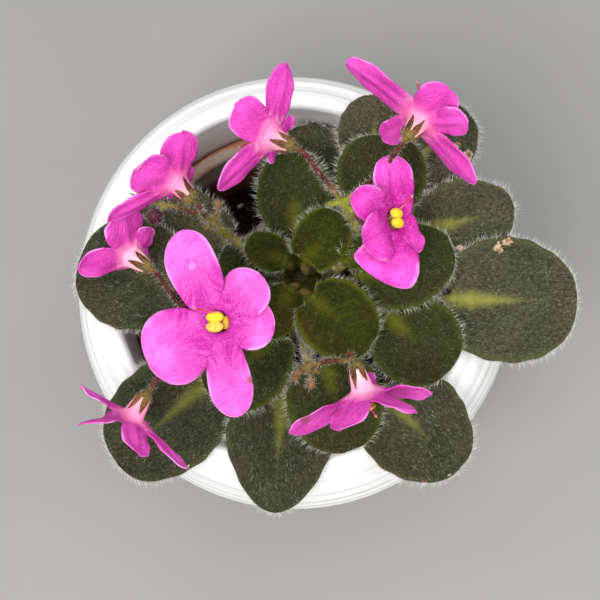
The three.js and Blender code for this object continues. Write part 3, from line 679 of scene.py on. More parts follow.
def hairs(roots, ways, lengths, radius=HAIR_RADIUS):
    """A slim closed spike on each root: vertices and faces."""
    ways = unit(ways)
    sideways = unit(np.cross(ways, SKEW))
    other = np.cross(ways, sideways)
    corners = [
        roots + radius * (math.cos(a) * sideways + math.sin(a) * other) - ways * radius
        for a in HAIR_CORNERS
    ]
    tips = roots + ways * lengths[:, None]
    vertices = np.stack([*corners, tips], 1).reshape(-1, 3)
    base = np.arange(len(roots))[:, None] * 4
    spikes = [base + np.array(f) for f in ((0, 2, 1), (0, 1, 3), (1, 2, 3), (2, 0, 3))]
    return vertices, np.concatenate(spikes)


def triangulated(faces):
    return np.array([[f[0], f[k], f[k + 1]] for f in faces for k in range(1, len(f) - 1)])


def areas(points, triangles):
    a, b, c = (points[triangles[:, k]] for k in range(3))
    return np.linalg.norm(np.cross(b - a, c - a), axis=1) / 2


def scattered(points, triangles, count, random, weights=1.0):
    """Random places on triangles, with the normal and the chosen triangle of each."""
    chance = areas(points, triangles) * weights
    chosen = triangles[random.choice(len(triangles), count, p=chance / chance.sum())]
    a, b, c = (points[chosen[:, k]] for k in range(3))
    r, s = random.uniform(size=(2, count, 1))
    over = (r + s) > 1
    r, s = np.where(over, 1 - r, r), np.where(over, 1 - s, s)
    return a + r * (b - a) + s * (c - a), unit(np.cross(b - a, c - a)), chosen


def young_leaves(random):
    """Tiny cupped leaves that crowd round the growing point, each rising and then bending outward."""
    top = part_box("crown_stem")[1].z
    every = Shape()
    rows = np.linspace(0, 1, YOUNG_ROWS)
    u, rise = round_turn(YOUNG_SIDES)
    for k in range(YOUNG_LEAVES):
        turn = YOUNG_TURN * k
        length = YOUNG_LENGTH + YOUNG_LONGER * k
        out = np.array([math.cos(turn), math.sin(turn), 0])
        across = np.array([-math.sin(turn), math.cos(turn), 0])
        up = np.array([0, 0, 1.0])
        lean = np.radians(14 + 5.0 * k + (16 + 2 * k) * rows)[:, None]
        way = out * np.sin(lean) + up * np.cos(lean)
        normal = -out * np.cos(lean) + up * np.sin(lean)
        start = np.array([*stem_centre, top - YOUNG_BELOW_TOP]) + out * YOUNG_OFF_MIDDLE
        spine = start + np.cumsum(way, 0) * length / YOUNG_ROWS
        half = length * 0.36 * (0.30 + 0.70 * np.sin(np.pi * np.clip(rows, 0, 0.97) ** 1.3))
        half = half[:, None, None] * random.uniform(0.85, 1.1)
        thick = YOUNG_THICK * np.sin(np.pi * (0.15 + 0.83 * rows))[:, None, None]
        cup = normal[:, None] * (thick * rise + 0.45 * half * u**2)
        every.put(*closed_tube(spine[:, None] + across * half * u + cup))
    return every.points(), every.faces


STEM_BARK = two_toned(
    "stem_bark",
    (420.0, 0.4, 0.62, 4.0),
    (0.060, 0.050, 0.012, 1),
    (0.14, 0.13, 0.03, 1),
    relief=(0.0006, 0.8),
    roughness=0.8,
)
YOUNG_SKIN = two_toned(
    "young_leaf",
    (260.0, 0.35, 0.65, 4.0),
    (0.060, 0.068, 0.006, 1),
    (0.14, 0.15, 0.018, 1),
    relief=(0.0004, 0.6),
    roughness=0.7,
    Specular_IOR_Level=0.08,
)
YOUNG_HAIR = hair_material("young_hairs", (0.50, 0.50, 0.34, 1), (0.24, 0.26, 0.12, 1))

stem_random = np.random.default_rng(80)
young_points, young_faces = young_leaves(stem_random)
roots, normals, _ = scattered(young_points, triangulated(young_faces), YOUNG_HAIRS, stem_random)
ways = normals + stem_random.normal(0, 0.4, roots.shape) + (0, 0, 0.5)
stem = Shape().put(*turned_grid(stem_chain, STEM_SIDES, scarred, stem_centre))
stem.put(young_points, young_faces, 1)
stem.put(*hairs(roots, ways, stem_random.uniform(*YOUNG_HAIR_LENGTHS, YOUNG_HAIRS)), 2)
weld(piece("stem", stem, [STEM_BARK, YOUNG_SKIN, YOUNG_HAIR], ["crown_stem"]))


# ---- Leaves -----------------------------------------------------------------
# Fleshy oval blades on round stalks, grown from the stem in a rosette. The blade
# is quilted between its side veins and covered in fine pale hairs, like velvet.

LEAF_SIDES = 56
STALK_STEPS = 14
BLADE_STEPS = 62
# The first rings of a lofted leaf belong to its stalk.
STALK_RINGS = 3
SIDE_VEINS = 6.5
VEIN_SWEEP = 0.30
VEIN_BEND = 1.4
QUILT_HEIGHT = 0.00042
GROOVE_DEPTH = 0.00045
GROOVE_WIDTH = 0.0014
MARGIN_WAVE = 0.0009
BLADE_TWIST = 0.0004
MARGIN_SAG = 0.0003
SCALLOP = 0.013
END_TAPER = 0.12
# How far a leaf's end is drawn to a point, how much painted shade darkens it where
# others shade it, and how much of its pale midrib shows where that is dull.
POINTED = {"leaf_outer_9": 0.5, "leaf_outer_2": 0.2, "leaf_middle_2": 0.25, "leaf_outer_10": 0.15}
SHADED = {"leaf_outer_7": 0.7, "leaf_outer_8": 0.75, "leaf_outer_9": 0.85, "leaf_outer_10": 0.6}
DULL_MIDRIB = {"leaf_outer_6": 0.15, "leaf_outer_7": 0.15, "leaf_outer_5": 0.4}
# Short hairs all over a blade and longer, thicker ones round its edge.
HAIRS_PER_MM2 = 4.6
BLADE_HAIR_LENGTHS = (0.0006, 0.0016)
EDGE_HAIRS_PER_MM = 5.4
EDGE_HAIR_LENGTHS = (0.0009, 0.0029)
EDGE_HAIR_RADIUS = {"outer": 0.000037, "middle": 0.000034, "inner": 0.000031}

# Old damage: place along and across the blade, and radius in millimetres.
LEAF_MARKS = {
    "leaf_outer_1": [(0.38, -0.86, 1.2), (0.45, -0.92, 1.3), (0.42, -0.78, 0.9)],
    "leaf_outer_2": [(0.36, 0.62, 0.9)],
    "leaf_outer_3": [(0.69, 0.85, 1.4), (0.69, 0.43, 1.1)],
    "leaf_outer_8": [(0.61, -0.94, 0.6)],
    "leaf_outer_10": [(0.86, 0.97, 0.8), (0.97, 0.60, 0.5)],
}


def loft_rings(node):
    """The rings of points of a lofted CAD node, from its flat end to its tip."""
    copy = merged_copy(node)
    places = {v: np.array(v.co) for v in copy.verts}

    def off_centre(v):
        around = [places[e.other_vert(v)] for e in v.link_edges]
        return np.linalg.norm(np.mean(around, 0) - places[v])

    layer = [min(copy.verts, key=off_centre)]
    seen = set(layer)
    rings = []
    while layer:
        following = []
        for v in layer:
            for e in v.link_edges:
                other = e.other_vert(v)
                if other not in seen:
                    seen.add(other)
                    following.append(other)
        layer = following
        if layer:
            rings.append(np.array([places[v] for v in layer]))
    copy.free()
    return rings


def leaf_skeleton(node):
    """Left edge, midrib, right edge and half thickness along a leaf."""
    rings = loft_rings(node)
    tip = rings[-1][0]
    left, middle, right, depth = [], [], [], []
    lead = None
    for ring in rings[:-1][::-1]:
        gaps = np.linalg.norm(ring[:, None] - ring[None], axis=-1)
        i, j = np.unravel_index(np.argmax(gaps), gaps.shape)
        across = (ring[j] - ring[i]) / gaps[i, j]
        if lead is not None and across @ lead < 0:
            i, j, across = j, i, -across
        lead = across
        order = np.argsort(np.abs((ring - ring.mean(0)) @ across))[:2]
        left.append(ring[i])
        right.append(ring[j])
        middle.append(ring[order].mean(0))
        depth.append(np.linalg.norm(ring[order[0]] - ring[order[1]]) / 2)
    left, middle, right = [np.array(run[::-1]) for run in (left, middle, right)]
    depth = np.array(depth[::-1])
    blade = len(middle) // 2
    forward = tip - middle[blade]
    if np.cross(right[blade] - left[blade], forward)[2] < 0:
        left, right = right, left
    left = np.vstack([2 * left[0] - left[1], left, tip, right[-1]])
    right = np.vstack([2 * right[0] - right[1], right, tip, left[-3]])
    middle = np.vstack([2 * middle[0] - middle[1], middle, tip, middle[-1]])
    depth = np.concatenate([depth[:1], depth, [0.0], depth[-1:]])
    return left, middle, right, depth


def along_curve(run, at):
    """Smooth interpolation through a run of points that has one spare point at each end."""
    base = np.minimum(at.astype(int), len(run) - 4)
    t = at - base
    if run.ndim == 2:
        t = t[:, None]
    return curve_point(*(run[base + k] for k in range(4)), t)


def smooth_share(value, low, high):
    t = np.clip((value - low) / (high - low), 0, 1)
    return t * t * (3 - 2 * t)


def vein_place(along, across):
    """Counts the side veins: a whole number on each vein, halves between them."""
    return SIDE_VEINS * (along - VEIN_SWEEP * np.abs(across) ** VEIN_BEND)


def leaf_grid(node, random):
    """The blade and stalk of one leaf as a grid of points, with its place along and across the leaf."""
    left, middle, right, depth = leaf_skeleton(node)
    last = len(middle) - 3
    on_stalk = np.linspace(0, STALK_RINGS, STALK_STEPS, endpoint=False)
    at = np.concatenate([on_stalk, np.linspace(STALK_RINGS, last, BLADE_STEPS)])
    at[-1] = last - 0.02
    left, right, middle = (along_curve(run, at) for run in (left, right, middle))
    depth = np.maximum(along_curve(depth, at), 0)
    forward = unit(np.gradient(middle, axis=0))
    reach = (at - STALK_RINGS) / (last - STALK_RINGS)
    to_tip = np.clip((reach - 0.5) / 0.5, 0, 0.98)
    taper = 1 - END_TAPER * smooth_share(reach, 0.45, 1.0)
    taper = taper * (1 + POINTED.get(node, 0.0) * (np.sqrt((1 - to_tip) / (1 + to_tip)) - 1))
    half = (right - left) / 2 * taper[:, None]
    normal = unit(np.cross(half, forward))
    cup = ((left + right) / 2 - middle) * taper[:, None]
    u, rise = round_turn(LEAF_SIDES)
    rise = rise[:, :, 0]
    blade = np.clip((at - STALK_RINGS + 0.4) / 1.4, 0, 1)[:, None]
    thick = depth[:, None] * np.sign(rise) * np.abs(rise) ** (1 - 0.55 * blade)
    points = middle[:, None] + half[:, None] * u + cup[:, None] * u**2
    along = (1 - np.cos(np.pi * np.clip(reach, 0, 1))) / 2
    along = np.where(at < STALK_RINGS, (at - STALK_RINGS) / STALK_RINGS, along)[:, None]
    across = np.repeat(u[:, :, 0], len(at), 0)
    sideways = np.linalg.norm(half, axis=1)[:, None] * across
    seam = np.abs(np.sin(np.pi * vein_place(along, across)))
    quilt = QUILT_HEIGHT * (seam**1.3 - 0.6) * np.clip(1 - np.abs(across) ** 3, 0, 1)
    hollow = np.exp(-((sideways / GROOVE_WIDTH) ** 2)) * (rise > -0.1)
    groove = -GROOVE_DEPTH * hollow * np.clip(1.1 - along, 0, 1)
    phase = random.uniform(0, 6.28, 3)
    edge = np.abs(across) ** 2.5
    swell = MARGIN_WAVE * edge * np.sin(along * 9 * np.sign(across) + phase[0] + 2 * across)
    swell = swell + BLADE_TWIST * np.sin(along * 4 + phase[1]) * across
    swell = swell + MARGIN_SAG * np.sin(7 * along + phase[2]) * edge
    lift = thick + blade * (quilt + groove + swell)
    scallop = SCALLOP * blade * edge * np.sin(along * 34 + phase[0] + 2 * np.sign(across))
    points = points + normal[:, None] * lift[..., None] + half[:, None] * u * scallop[..., None]
    facts = {
        "leaf_along": np.repeat(along, LEAF_SIDES, 1),
        "leaf_across": across,
        "leaf_side": sideways * 100,
        "leaf_face": np.repeat(rise, len(at), 0),
    }
    return points, facts, forward


def fact(tree, name):
    """A value that the mesh carries at its points."""
    return add_node(tree, "ShaderNodeAttribute", attribute_name=name).outputs["Fac"]


def veins_group():
    """Midrib, side veins, rim and pile of a leaf, from its place along and across the blade."""
    tree = bpy.data.node_groups.new("leaf_veins", "ShaderNodeTree")
    along, across, side = (fact(tree, "leaf_" + name) for name in ("along", "across", "side"))
    off_centre = calculate(tree, "ABSOLUTE", across)
    wander = times(tree, minus(tree, noise_map(tree, 160.0), 0.5), 0.16)
    swept = times(tree, calculate(tree, "POWER", off_centre, VEIN_BEND), VEIN_SWEEP)
    place = times(tree, minus(tree, along, swept), SIDE_VEINS)
    gap = calculate(tree, "PINGPONG", plus(tree, place, wander), 0.5)
    vein = times(tree, stretch(tree, gap, 0.20, 0.0), stretch(tree, off_centre, 0.95, 0.4, 0.1, 1.0))
    half_width = stretch(tree, along, 0.70, 0.05, 0.022, 0.150)
    distance = calculate(tree, "DIVIDE", calculate(tree, "ABSOLUTE", side), half_width)
    distance = plus(tree, distance, times(tree, noise_map(tree, 220.0, 4.0), 1.5))
    distance = minus(tree, distance, times(tree, vein, 0.30))
    slanted = plus(tree, times(tree, side, 9.0), times(tree, along, 2.5))
    pile_place = add_node(
        tree, "ShaderNodeCombineXYZ", {0: slanted, 1: times(tree, along, 5.5), 2: fact(tree, "leaf_number")}
    ).outputs[0]
    pile = add_node(
        tree, "ShaderNodeTexNoise", {"Vector": pile_place, "Scale": 5.0, "Detail": 3.0, "Distortion": 0.6}
    ).outputs["Fac"]
    results = {
        "Midrib": stretch(tree, distance, 3.2, 0.2),
        "Side veins": vein,
        "Rim": stretch(tree, off_centre, 0.82, 1.0),
        "Underside": stretch(tree, fact(tree, "leaf_face"), 0.1, -0.1),
        "Along": along,
        "Pile": pile,
    }
    for name in results:
        tree.interface.new_socket(name, in_out="OUTPUT", socket_type="NodeSocketFloat")
    result = tree.nodes.new("NodeGroupOutput").inputs
    for name, value in results.items():
        tree.links.new(value, result[name])
    return tree


VEINS = veins_group()


def leaf_material(name, dark, light, brown, rim, midrib_glow, glow_reach, pile_colour, glow_colour):
    """Hairy leaf skin: mottled green with brown stains, pale midrib, brown stalk, dry marks and pile, with
    painted shade in fine cells and on leaves that others shade.
    """
    material, tree, shader = new_material(
        name, roughness=0.7, Sheen_Weight=0.06, Sheen_Roughness=0.5, Specular_IOR_Level=0.08
    )
    shader.inputs["Sheen Tint"].default_value = (0.6, 0.7, 0.4, 1)
    veins = placed(tree, VEINS)
    patches = mottle(tree, 95.0, 0.32, 0.68, 4.0)
    stains = mottle(tree, 60.0, 0.44, 0.66, 5.0)
    cells = mottle(tree, 1100.0, 0.35, 0.7, 2.0)
    base = mixed(tree, patches["Mask"], dark, light)
    base = mixed(tree, times(tree, stains["Mask"], 0.7), base, brown)
    base = mixed(tree, times(tree, stretch(tree, veins["Pile"], 0.50, 0.68), 0.38), base, pile_colour)
    # Painted shade: the low spots of a fine cell pattern darkened nearly to black, as shade between small
    # bumps.
    base = mixed(tree, stretch(tree, cells["Height"], 0.30, 0.62, 0.55, 0.0), base, (0.008, 0.010, 0.002, 1))
    base = mixed(tree, times(tree, veins["Side veins"], 0.10), base, rim)
    base = mixed(tree, times(tree, veins["Rim"], 0.55), base, rim)
    fading = times(tree, stretch(tree, veins["Along"], glow_reach, 0.15, 0.0, 1.0), fact(tree, "leaf_glow"))
    base = mixed(tree, times(tree, veins["Midrib"], times(tree, fading, midrib_glow)), base, glow_colour)
    base = mixed(tree, times(tree, veins["Underside"], 0.8), base, (0.12, 0.11, 0.045, 1))
    # Painted shade: leaves that others shade are multiplied darker by their share.
    dimmed = mixed(tree, 1.0, base, (0.56, 0.60, 0.52, 1), "MULTIPLY")
    base = mixed(tree, fact(tree, "leaf_shade"), base, dimmed)
    ragged = plus(tree, fact(tree, "leaf_dry"), times(tree, cells["Height"], 1.1))
    dry = mixed(tree, cells["Mask"], (0.30, 0.15, 0.07, 1), (0.60, 0.45, 0.32, 1))
    base = mixed(tree, stretch(tree, ragged, 0.95, 1.15), base, dry)
    stalk = mixed(tree, patches["Mask"], (0.125, 0.080, 0.016, 1), (0.22, 0.165, 0.034, 1))
    paint(tree, shader, mixed(tree, stretch(tree, veins["Along"], 0.02, -0.12), base, stalk))
    pebbles = mottle(tree, 620.0, 0.30, 0.60, 2.0)
    relief = plus(tree, times(tree, pebbles["Mask"], 0.8), veins["Pile"])
    relief = minus(tree, relief, times(tree, veins["Side veins"], 0.30))
    bumped(tree, shader, relief, 0.00050, 0.9)
    return material


LEAF_KINDS = {
    "outer": (
        leaf_material(
            "outer_leaf",
            dark=(0.036, 0.040, 0.017, 1),
            light=(0.060, 0.063, 0.030, 1),
            brown=(0.072, 0.052, 0.030, 1),
            rim=(0.085, 0.092, 0.032, 1),
            midrib_glow=0.95,
            glow_reach=0.80,
            pile_colour=(0.22, 0.22, 0.155, 1),
            glow_colour=(0.275, 0.268, 0.055, 1),
        ),
        hair_material("outer_edge_hairs", (0.92, 0.91, 0.84, 1), (0.70, 0.69, 0.58, 1)),
        hair_material("outer_hairs", (0.78, 0.78, 0.68, 1), (0.36, 0.38, 0.28, 1)),
    ),
    "middle": (
        leaf_material(
            "middle_leaf",
            dark=(0.016, 0.022, 0.003, 1),
            light=(0.030, 0.039, 0.006, 1),
            brown=(0.032, 0.027, 0.007, 1),
            rim=(0.072, 0.090, 0.010, 1),
            midrib_glow=0.55,
            glow_reach=0.55,
            pile_colour=(0.100, 0.108, 0.040, 1),
            glow_colour=(0.17, 0.20, 0.012, 1),
        ),
        hair_material("middle_edge_hairs", (0.84, 0.84, 0.70, 1), (0.58, 0.60, 0.44, 1)),
        hair_material("middle_hairs", (0.60, 0.62, 0.46, 1), (0.24, 0.27, 0.14, 1)),
    ),
    "inner": (
        leaf_material(
            "inner_leaf",
            dark=(0.016, 0.022, 0.0006, 1),
            light=(0.034, 0.044, 0.0012, 1),
            brown=(0.060, 0.030, 0.003, 1),
            rim=(0.110, 0.140, 0.006, 1),
            midrib_glow=0.36,
            glow_reach=0.60,
            pile_colour=(0.052, 0.064, 0.004, 1),
            glow_colour=(0.15, 0.18, 0.006, 1),
        ),
        hair_material("inner_edge_hairs", (0.76, 0.78, 0.62, 1), (0.50, 0.53, 0.36, 1)),
        hair_material("inner_hairs", (0.36, 0.40, 0.16, 1), (0.13, 0.16, 0.04, 1)),
    ),
}


def blade_hairs(points, triangles, facts, forward, rows, random):
    """Short hairs that lie over the blade and stand out from the stalk: roots, directions and lengths."""
    face = facts["leaf_face"][triangles].mean(1)
    along = facts["leaf_along"][triangles].mean(1)
    weights = np.where(face > 0, 1.0, 0.18) * np.where(along < 0, 0.25, 1.0)
    count = int((areas(points, triangles) * weights).sum() * 1e6 * HAIRS_PER_MM2)
    roots, normals, chosen = scattered(points, triangles, count, random, weights)
    lean = forward[np.minimum(chosen[:, 0] // LEAF_SIDES, rows - 1)]
    jitter = random.normal(0, 0.55, (count, 3))
    standing = normals * random.uniform(0.15, 0.8, (count, 1))
    ways = standing + lean * random.uniform(0.3, 1.0, (count, 1)) + jitter
    on_stalk = facts["leaf_along"][chosen].mean(1) < 0
    ways = np.where(on_stalk[:, None], normals + 0.5 * jitter, ways)
    ways = ways + normals * np.maximum(0, 0.22 - (unit(ways) * normals).sum(1))[:, None]
    lengths = random.uniform(*BLADE_HAIR_LENGTHS, count) * np.where(on_stalk, 1.2, 1.0)
    lengths = lengths * np.where(random.uniform(size=count) < 0.07, 1.8, 1.0)
    return roots, ways, lengths


def edge_hairs(points, forward, random):
    """Longer hairs that stand out all round the rim of the blade, a little forward and up."""
    first = STALK_STEPS + 2
    rim = np.linalg.norm(np.diff(points[first:, 0], axis=0), axis=1)
    count = int(EDGE_HAIRS_PER_MM * rim.sum() * 1000)
    roots, ways = [], []
    for column in (0, LEAF_SIDES // 2):
        row = first + random.choice(len(rim), count, p=rim / rim.sum())
        part = random.uniform(size=(count, 1))
        spread = random.integers(-1, 2, count)
        roots.append(points[row, column + spread] * (1 - part) + points[row + 1, column + spread] * part)
        outward = unit(points[row, column] - points[row, LEAF_SIDES // 4])
        ways.append(outward + 0.35 * forward[row] + random.normal(0, 0.30, (count, 3)) + (0, 0, 0.10))
    tip_count = int(EDGE_HAIRS_PER_MM * 3)
    across = unit(points[-6, 0] - points[-6, LEAF_SIDES // 2])
    aside = random.uniform(-0.9, 0.9, (tip_count, 1))
    roots.append(points[-1].mean(0) + across * aside * 0.0014 - forward[-1] * aside**2 * 0.0004)
    ways.append(forward[-1] + across * aside * 0.8 + random.normal(0, 0.25, (tip_count, 3)))
    roots = np.vstack(roots)
    return roots, np.vstack(ways), random.uniform(*EDGE_HAIR_LENGTHS, len(roots))


def build_leaf(node, kind, seed):
    random = np.random.default_rng(seed)
    grid, facts, forward = leaf_grid(node, random)
    points, faces = closed_tube(grid)
    for name, values in facts.items():
        facts[name] = np.concatenate([values.reshape(-1), [values[0, 0], values[-1, 0]]])
    facts["leaf_number"] = np.full(len(points), 1.7 * seed)
    facts["leaf_shade"] = np.full(len(points), SHADED.get(node, 0.0))
    facts["leaf_glow"] = np.full(len(points), DULL_MIDRIB.get(node, 1.0))
    facts["leaf_dry"] = np.zeros(len(points))
    for along, across, radius in LEAF_MARKS.get(node, []):
        near = (facts["leaf_along"] - along) ** 2 + (facts["leaf_across"] - across) ** 2
        centre = points[np.argmin(near + (facts["leaf_face"] < 0.2))]
        gap = np.linalg.norm(points - centre, axis=1) / (radius * 0.001)
        facts["leaf_dry"] = np.maximum(facts["leaf_dry"], np.clip(1.0 - gap * 0.6, 0, 1))
    skin = triangulated([face for face in faces if len(face) == 4])
    leaf = Shape().put(points, faces)
    leaf.put(*hairs(*blade_hairs(points, skin, facts, forward, len(grid), random)), 2)
    leaf.put(*hairs(*edge_hairs(grid, forward, random), EDGE_HAIR_RADIUS[kind]), 1)
    piece(node.replace("leaf_", "") + "_leaf", leaf, LEAF_KINDS[kind], [node], facts)


leaf_nodes = sorted(name for name in NODES if name.startswith("leaf_"))
for seed, node in enumerate(leaf_nodes):
    build_leaf(node, node.split("_")[1], 100 + seed)


# ---- Flower stalks ----------------------------------------------------------
# Hairy stalks that rise from the stem and divide at a joint with small leafy
# bracts. Each branch ends in a green cup with five narrow brown-green sepals.

STALK_VOXEL = 0.00027
STALK_HAIRS_PER_MM2 = 3.6
STALK_HAIR_LENGTHS = (0.0009, 0.0021)
STALK_HAIR_RADIUS = 0.000025
SOFTENING_ROUNDS = 4
# A pistil end this near a corolla is inside its tube, and its throat lies in this
# band of distances from its foot.
TUBE_REACH = 0.0027
THROAT_BAND = (0.0052, 0.0059)
CALYX_TOP = 0.0065
CALYX_REACH = 0.0080
CUP_RADIUS, CUP_FLARE = 0.0010, 0.0004
JOINT_REACH = 0.0050
YOUNG_BUD_REACH = 0.0027
SEPAL_LENGTH = 0.0054
SEPAL_WIDTH = 0.0017
SEPAL_THICK = 0.00016
SEPAL_BELOW_FOOT = 0.0014
SEPAL_OUT, SEPAL_SWELL = 0.0009, 0.0011
SEPAL_SPLAY = (0.0001, 0.0010)
SEPAL_ROWS = 16
SEPAL_SIDES = 12
# The flowers that each stalk carries.
FLOWERS_ON = {1: (1, 5, 6), 2: (2,), 3: (3, 4, 8), 4: (7,)}


def flower_frame(number):
    """Foot of a flower's tube, its axis, the upper side and the left side, measured on its CAD nodes."""
    corolla, _ = points_and_faces(merged_copy(f"flower_{number}_corolla"))
    pistil = np.array([v.co for v in NODES[f"flower_{number}_pistil"].data.vertices])
    gaps = np.linalg.norm(pistil[:, None] - pistil[None], axis=-1)
    ends = [pistil[k] for k in np.unravel_index(np.argmax(gaps), gaps.shape)]
    near = [np.linalg.norm(corolla - end, axis=1) < TUBE_REACH for end in ends]
    foot = corolla[max(near, key=np.sum)].mean(0)
    reach = np.linalg.norm(corolla - foot, axis=1)
    throat = corolla[(reach > THROAT_BAND[0]) & (reach < THROAT_BAND[1])].mean(0)
    axis = unit(throat - foot)
    upper = unit(np.array([0, 0, 1.0]) - axis[2] * axis)
    return foot, axis, upper, np.cross(axis, upper)


FLOWERS = {number: flower_frame(number) for number in range(1, 9)}


def reshaped(node, kind, **settings):
    """The points and faces of a CAD node, merged and then given a modifier."""
    points, faces = points_and_faces(merged_copy(node))
    made = new_object("scratch", new_mesh("scratch", points.tolist(), faces))
    modifier = made.modifiers.new(kind.lower(), kind)
    for name, value in settings.items():
        setattr(modifier, name, value)
    result = made.evaluated_get(bpy.context.evaluated_depsgraph_get()).to_mesh()
    points = np.array([v.co for v in result.vertices])
    faces = [list(p.vertices) for p in result.polygons]
    made.to_mesh_clear()
    bpy.data.objects.remove(made)
    return points, faces


def softened(points, faces, rounds):
    """Relaxes a mesh by moving each point half of the way to the middle of its neighbours."""
    edges = {(min(a, b), max(a, b)) for face in faces for a, b in zip(face, face[1:] + face[:1])}
    first, second = np.array(sorted(edges)).T
    count = np.bincount(first, minlength=len(points)) + np.bincount(second, minlength=len(points))
    for _ in range(rounds):
        total = np.zeros_like(points)
        np.add.at(total, first, points[second])
        np.add.at(total, second, points[first])
        points = points + 0.5 * (total / count[:, None] - points)
    return points


def stalk_material():
    """Dark red skin, olive below the joint, green at it, tan on small buds and brown-green on sepals."""
    material, tree, shader = new_material(
        "stalk_skin", roughness=0.6, Sheen_Weight=0.05, Specular_IOR_Level=0.15
    )
    streaks = mottle(tree, 340.0, 0.35, 0.65, 4.0)
    skin = mixed(tree, streaks["Mask"], (0.045, 0.008, 0.007, 1), (0.120, 0.025, 0.019, 1))
    for name, dark, light in (
        ("stalk_olive", (0.12, 0.10, 0.015, 1), (0.24, 0.21, 0.035, 1)),
        ("stalk_leafy", (0.24, 0.27, 0.020, 1), (0.40, 0.42, 0.05, 1)),
        ("stalk_tan", (0.13, 0.060, 0.030, 1), (0.28, 0.150, 0.080, 1)),
        ("stalk_sepal", (0.055, 0.016, 0.006, 1), (0.150, 0.052, 0.017, 1)),
    ):
        skin = mixed(tree, fact(tree, name), skin, mixed(tree, streaks["Mask"], dark, light))
    paint(tree, shader, skin)
    bumped(tree, shader, streaks["Height"], 0.0003, 0.6)
    return material


STALK_SKIN = stalk_material()
STALK_HAIR = hair_material("stalk_hairs", (0.84, 0.78, 0.70, 1), (0.58, 0.48, 0.38, 1))
# The middles of the small buds that are still forming.
YOUNG_BUDS = [
    (-0.0156, 0.0150, 0.121), (0.0114, 0.0184, 0.124), (0.0023, -0.0257, 0.116), (0.0062, -0.0274, 0.116)
]
# How fresh a green each joint and its bracts are, and where each stalk divides.
JOINT_GREEN = {1: 0.75, 2: 0.35, 3: 0.35, 4: 0.20}
JOINTS = {
    1: (0.0139, 0.0156, 0.120),
    2: (-0.0175, 0.0118, 0.116),
    3: (-0.0197, -0.0139, 0.112),
    4: (0.0056, -0.0230, 0.115),
}


def sepal_blades(number, random):
    """Five narrow pointed sepals round the foot of a flower's tube, closed and slightly keeled."""
    foot, axis, upper, side = FLOWERS[number]
    rows = np.linspace(0, 1, SEPAL_ROWS)
    u, rise = round_turn(SEPAL_SIDES)
    every = Shape()
    for k in range(5):
        turn = math.radians(72 * k + 36) + random.uniform(-0.15, 0.15)
        outward = upper * math.cos(turn) + side * math.sin(turn)
        across = np.cross(axis, outward)
        length = SEPAL_LENGTH * random.uniform(0.85, 1.15)
        splay = random.uniform(*SEPAL_SPLAY)
        reach = SEPAL_OUT + SEPAL_SWELL * smooth_share(rows, 0.0, 0.35) + splay * rows**2.5
        spine = foot + axis * (length * rows - SEPAL_BELOW_FOOT)[:, None] + outward * reach[:, None]
        half = SEPAL_WIDTH / 2 * np.maximum(np.sin(np.pi * np.clip(0.20 + 0.80 * rows, 0, 1)), 0) ** 0.8
        half = half[:, None, None]
        keel = outward * (SEPAL_THICK * rise - 0.35 * half * u**2)
        every.put(*closed_tube(spine[:, None] + across * half * u + keel))
    return every.points(), every.faces


def by_flower(points):
    """For each flower, how high along its axis the points are and their way out from it."""
    for foot, axis, _, _ in FLOWERS.values():
        offset = points - foot
        height = offset @ axis
        outward = offset - height[:, None] * axis
        yield height, outward, np.linalg.norm(outward, axis=1)


def slimmed(points):
    """Draws a calyx in round its flower's axis to a slim cup, with what is beyond it inside the tube."""
    for height, outward, radius in by_flower(points):
        near = (radius < CALYX_REACH) & (height > -0.004) & (height < CALYX_TOP)
        most = CUP_RADIUS + CUP_FLARE * smooth_share(height, -0.0030, -0.0002)
        wanted = np.where(radius > most, most + (radius - most) * 0.03, radius)
        share = smooth_share(height, -0.0038, -0.0022) * near
        points += outward * ((wanted / np.maximum(radius, 1e-9) - 1) * share)[:, None]
    return points


def build_stalk(number, seed):
    node = f"flower_stalk_{number}"
    random = np.random.default_rng(seed)
    points, faces = reshaped(node, "REMESH", mode="VOXEL", voxel_size=STALK_VOXEL)
    stalk = Shape().put(slimmed(softened(points, faces, SOFTENING_ROUNDS)), faces)
    for flower in FLOWERS_ON[number]:
        stalk.put(*sepal_blades(flower, random))
    points = stalk.points()
    sepal = np.zeros(len(points))
    cup = np.zeros(len(points))
    for height, _, radius in by_flower(points):
        near = np.clip((CALYX_REACH - 0.0005 - radius) / 0.001, 0, 1) * (height < CALYX_TOP)
        sepal = np.maximum(sepal, near * np.clip((height + 0.0004) / 0.0016, 0, 1))
        cup = np.maximum(cup, near * np.clip((height + 0.0030) / 0.0014, 0, 1))
    joint = np.array(JOINTS[number])
    gap = np.linalg.norm(points - joint, axis=1)
    below = np.clip((joint[2] + 0.0005 - points[:, 2]) / 0.003, 0, 1) * (1 - cup)
    to_bud = np.min([np.linalg.norm(points - bud, axis=1) for bud in YOUNG_BUDS], 0)
    facts = {
        "stalk_olive": np.clip(np.maximum(cup * (1 - sepal) * 0.55, below), 0, 1),
        "stalk_leafy": np.clip((JOINT_REACH - gap) / 0.0015, 0, 1) * JOINT_GREEN[number],
        "stalk_tan": np.clip((YOUNG_BUD_REACH - to_bud) / 0.001, 0, 1),
        "stalk_sepal": sepal,
    }
    triangles = triangulated(stalk.faces)
    count = int(areas(points, triangles).sum() * 1e6 * STALK_HAIRS_PER_MM2)
    roots, normals, chosen = scattered(points, triangles, count, random)
    ways = normals + random.normal(0, 0.25, (count, 3))
    on_cup = np.maximum(cup, sepal)[chosen[:, 0]]
    lengths = random.uniform(*STALK_HAIR_LENGTHS, count) * (1 - 0.55 * on_cup)
    stalk.put(*hairs(roots, ways, lengths, STALK_HAIR_RADIUS), 1)
    piece(f"stalk_{number}_hairy", stalk, [STALK_SKIN, STALK_HAIR], [node], facts)


for number in JOINTS:
    build_stalk(number, 300 + number)


# ---- Corollas ---------------------------------------------------------------
# Each bloom is one thin sheet: a pale tube that flares and divides into five
# rounded magenta lobes, two short above and three long below, finely grained.

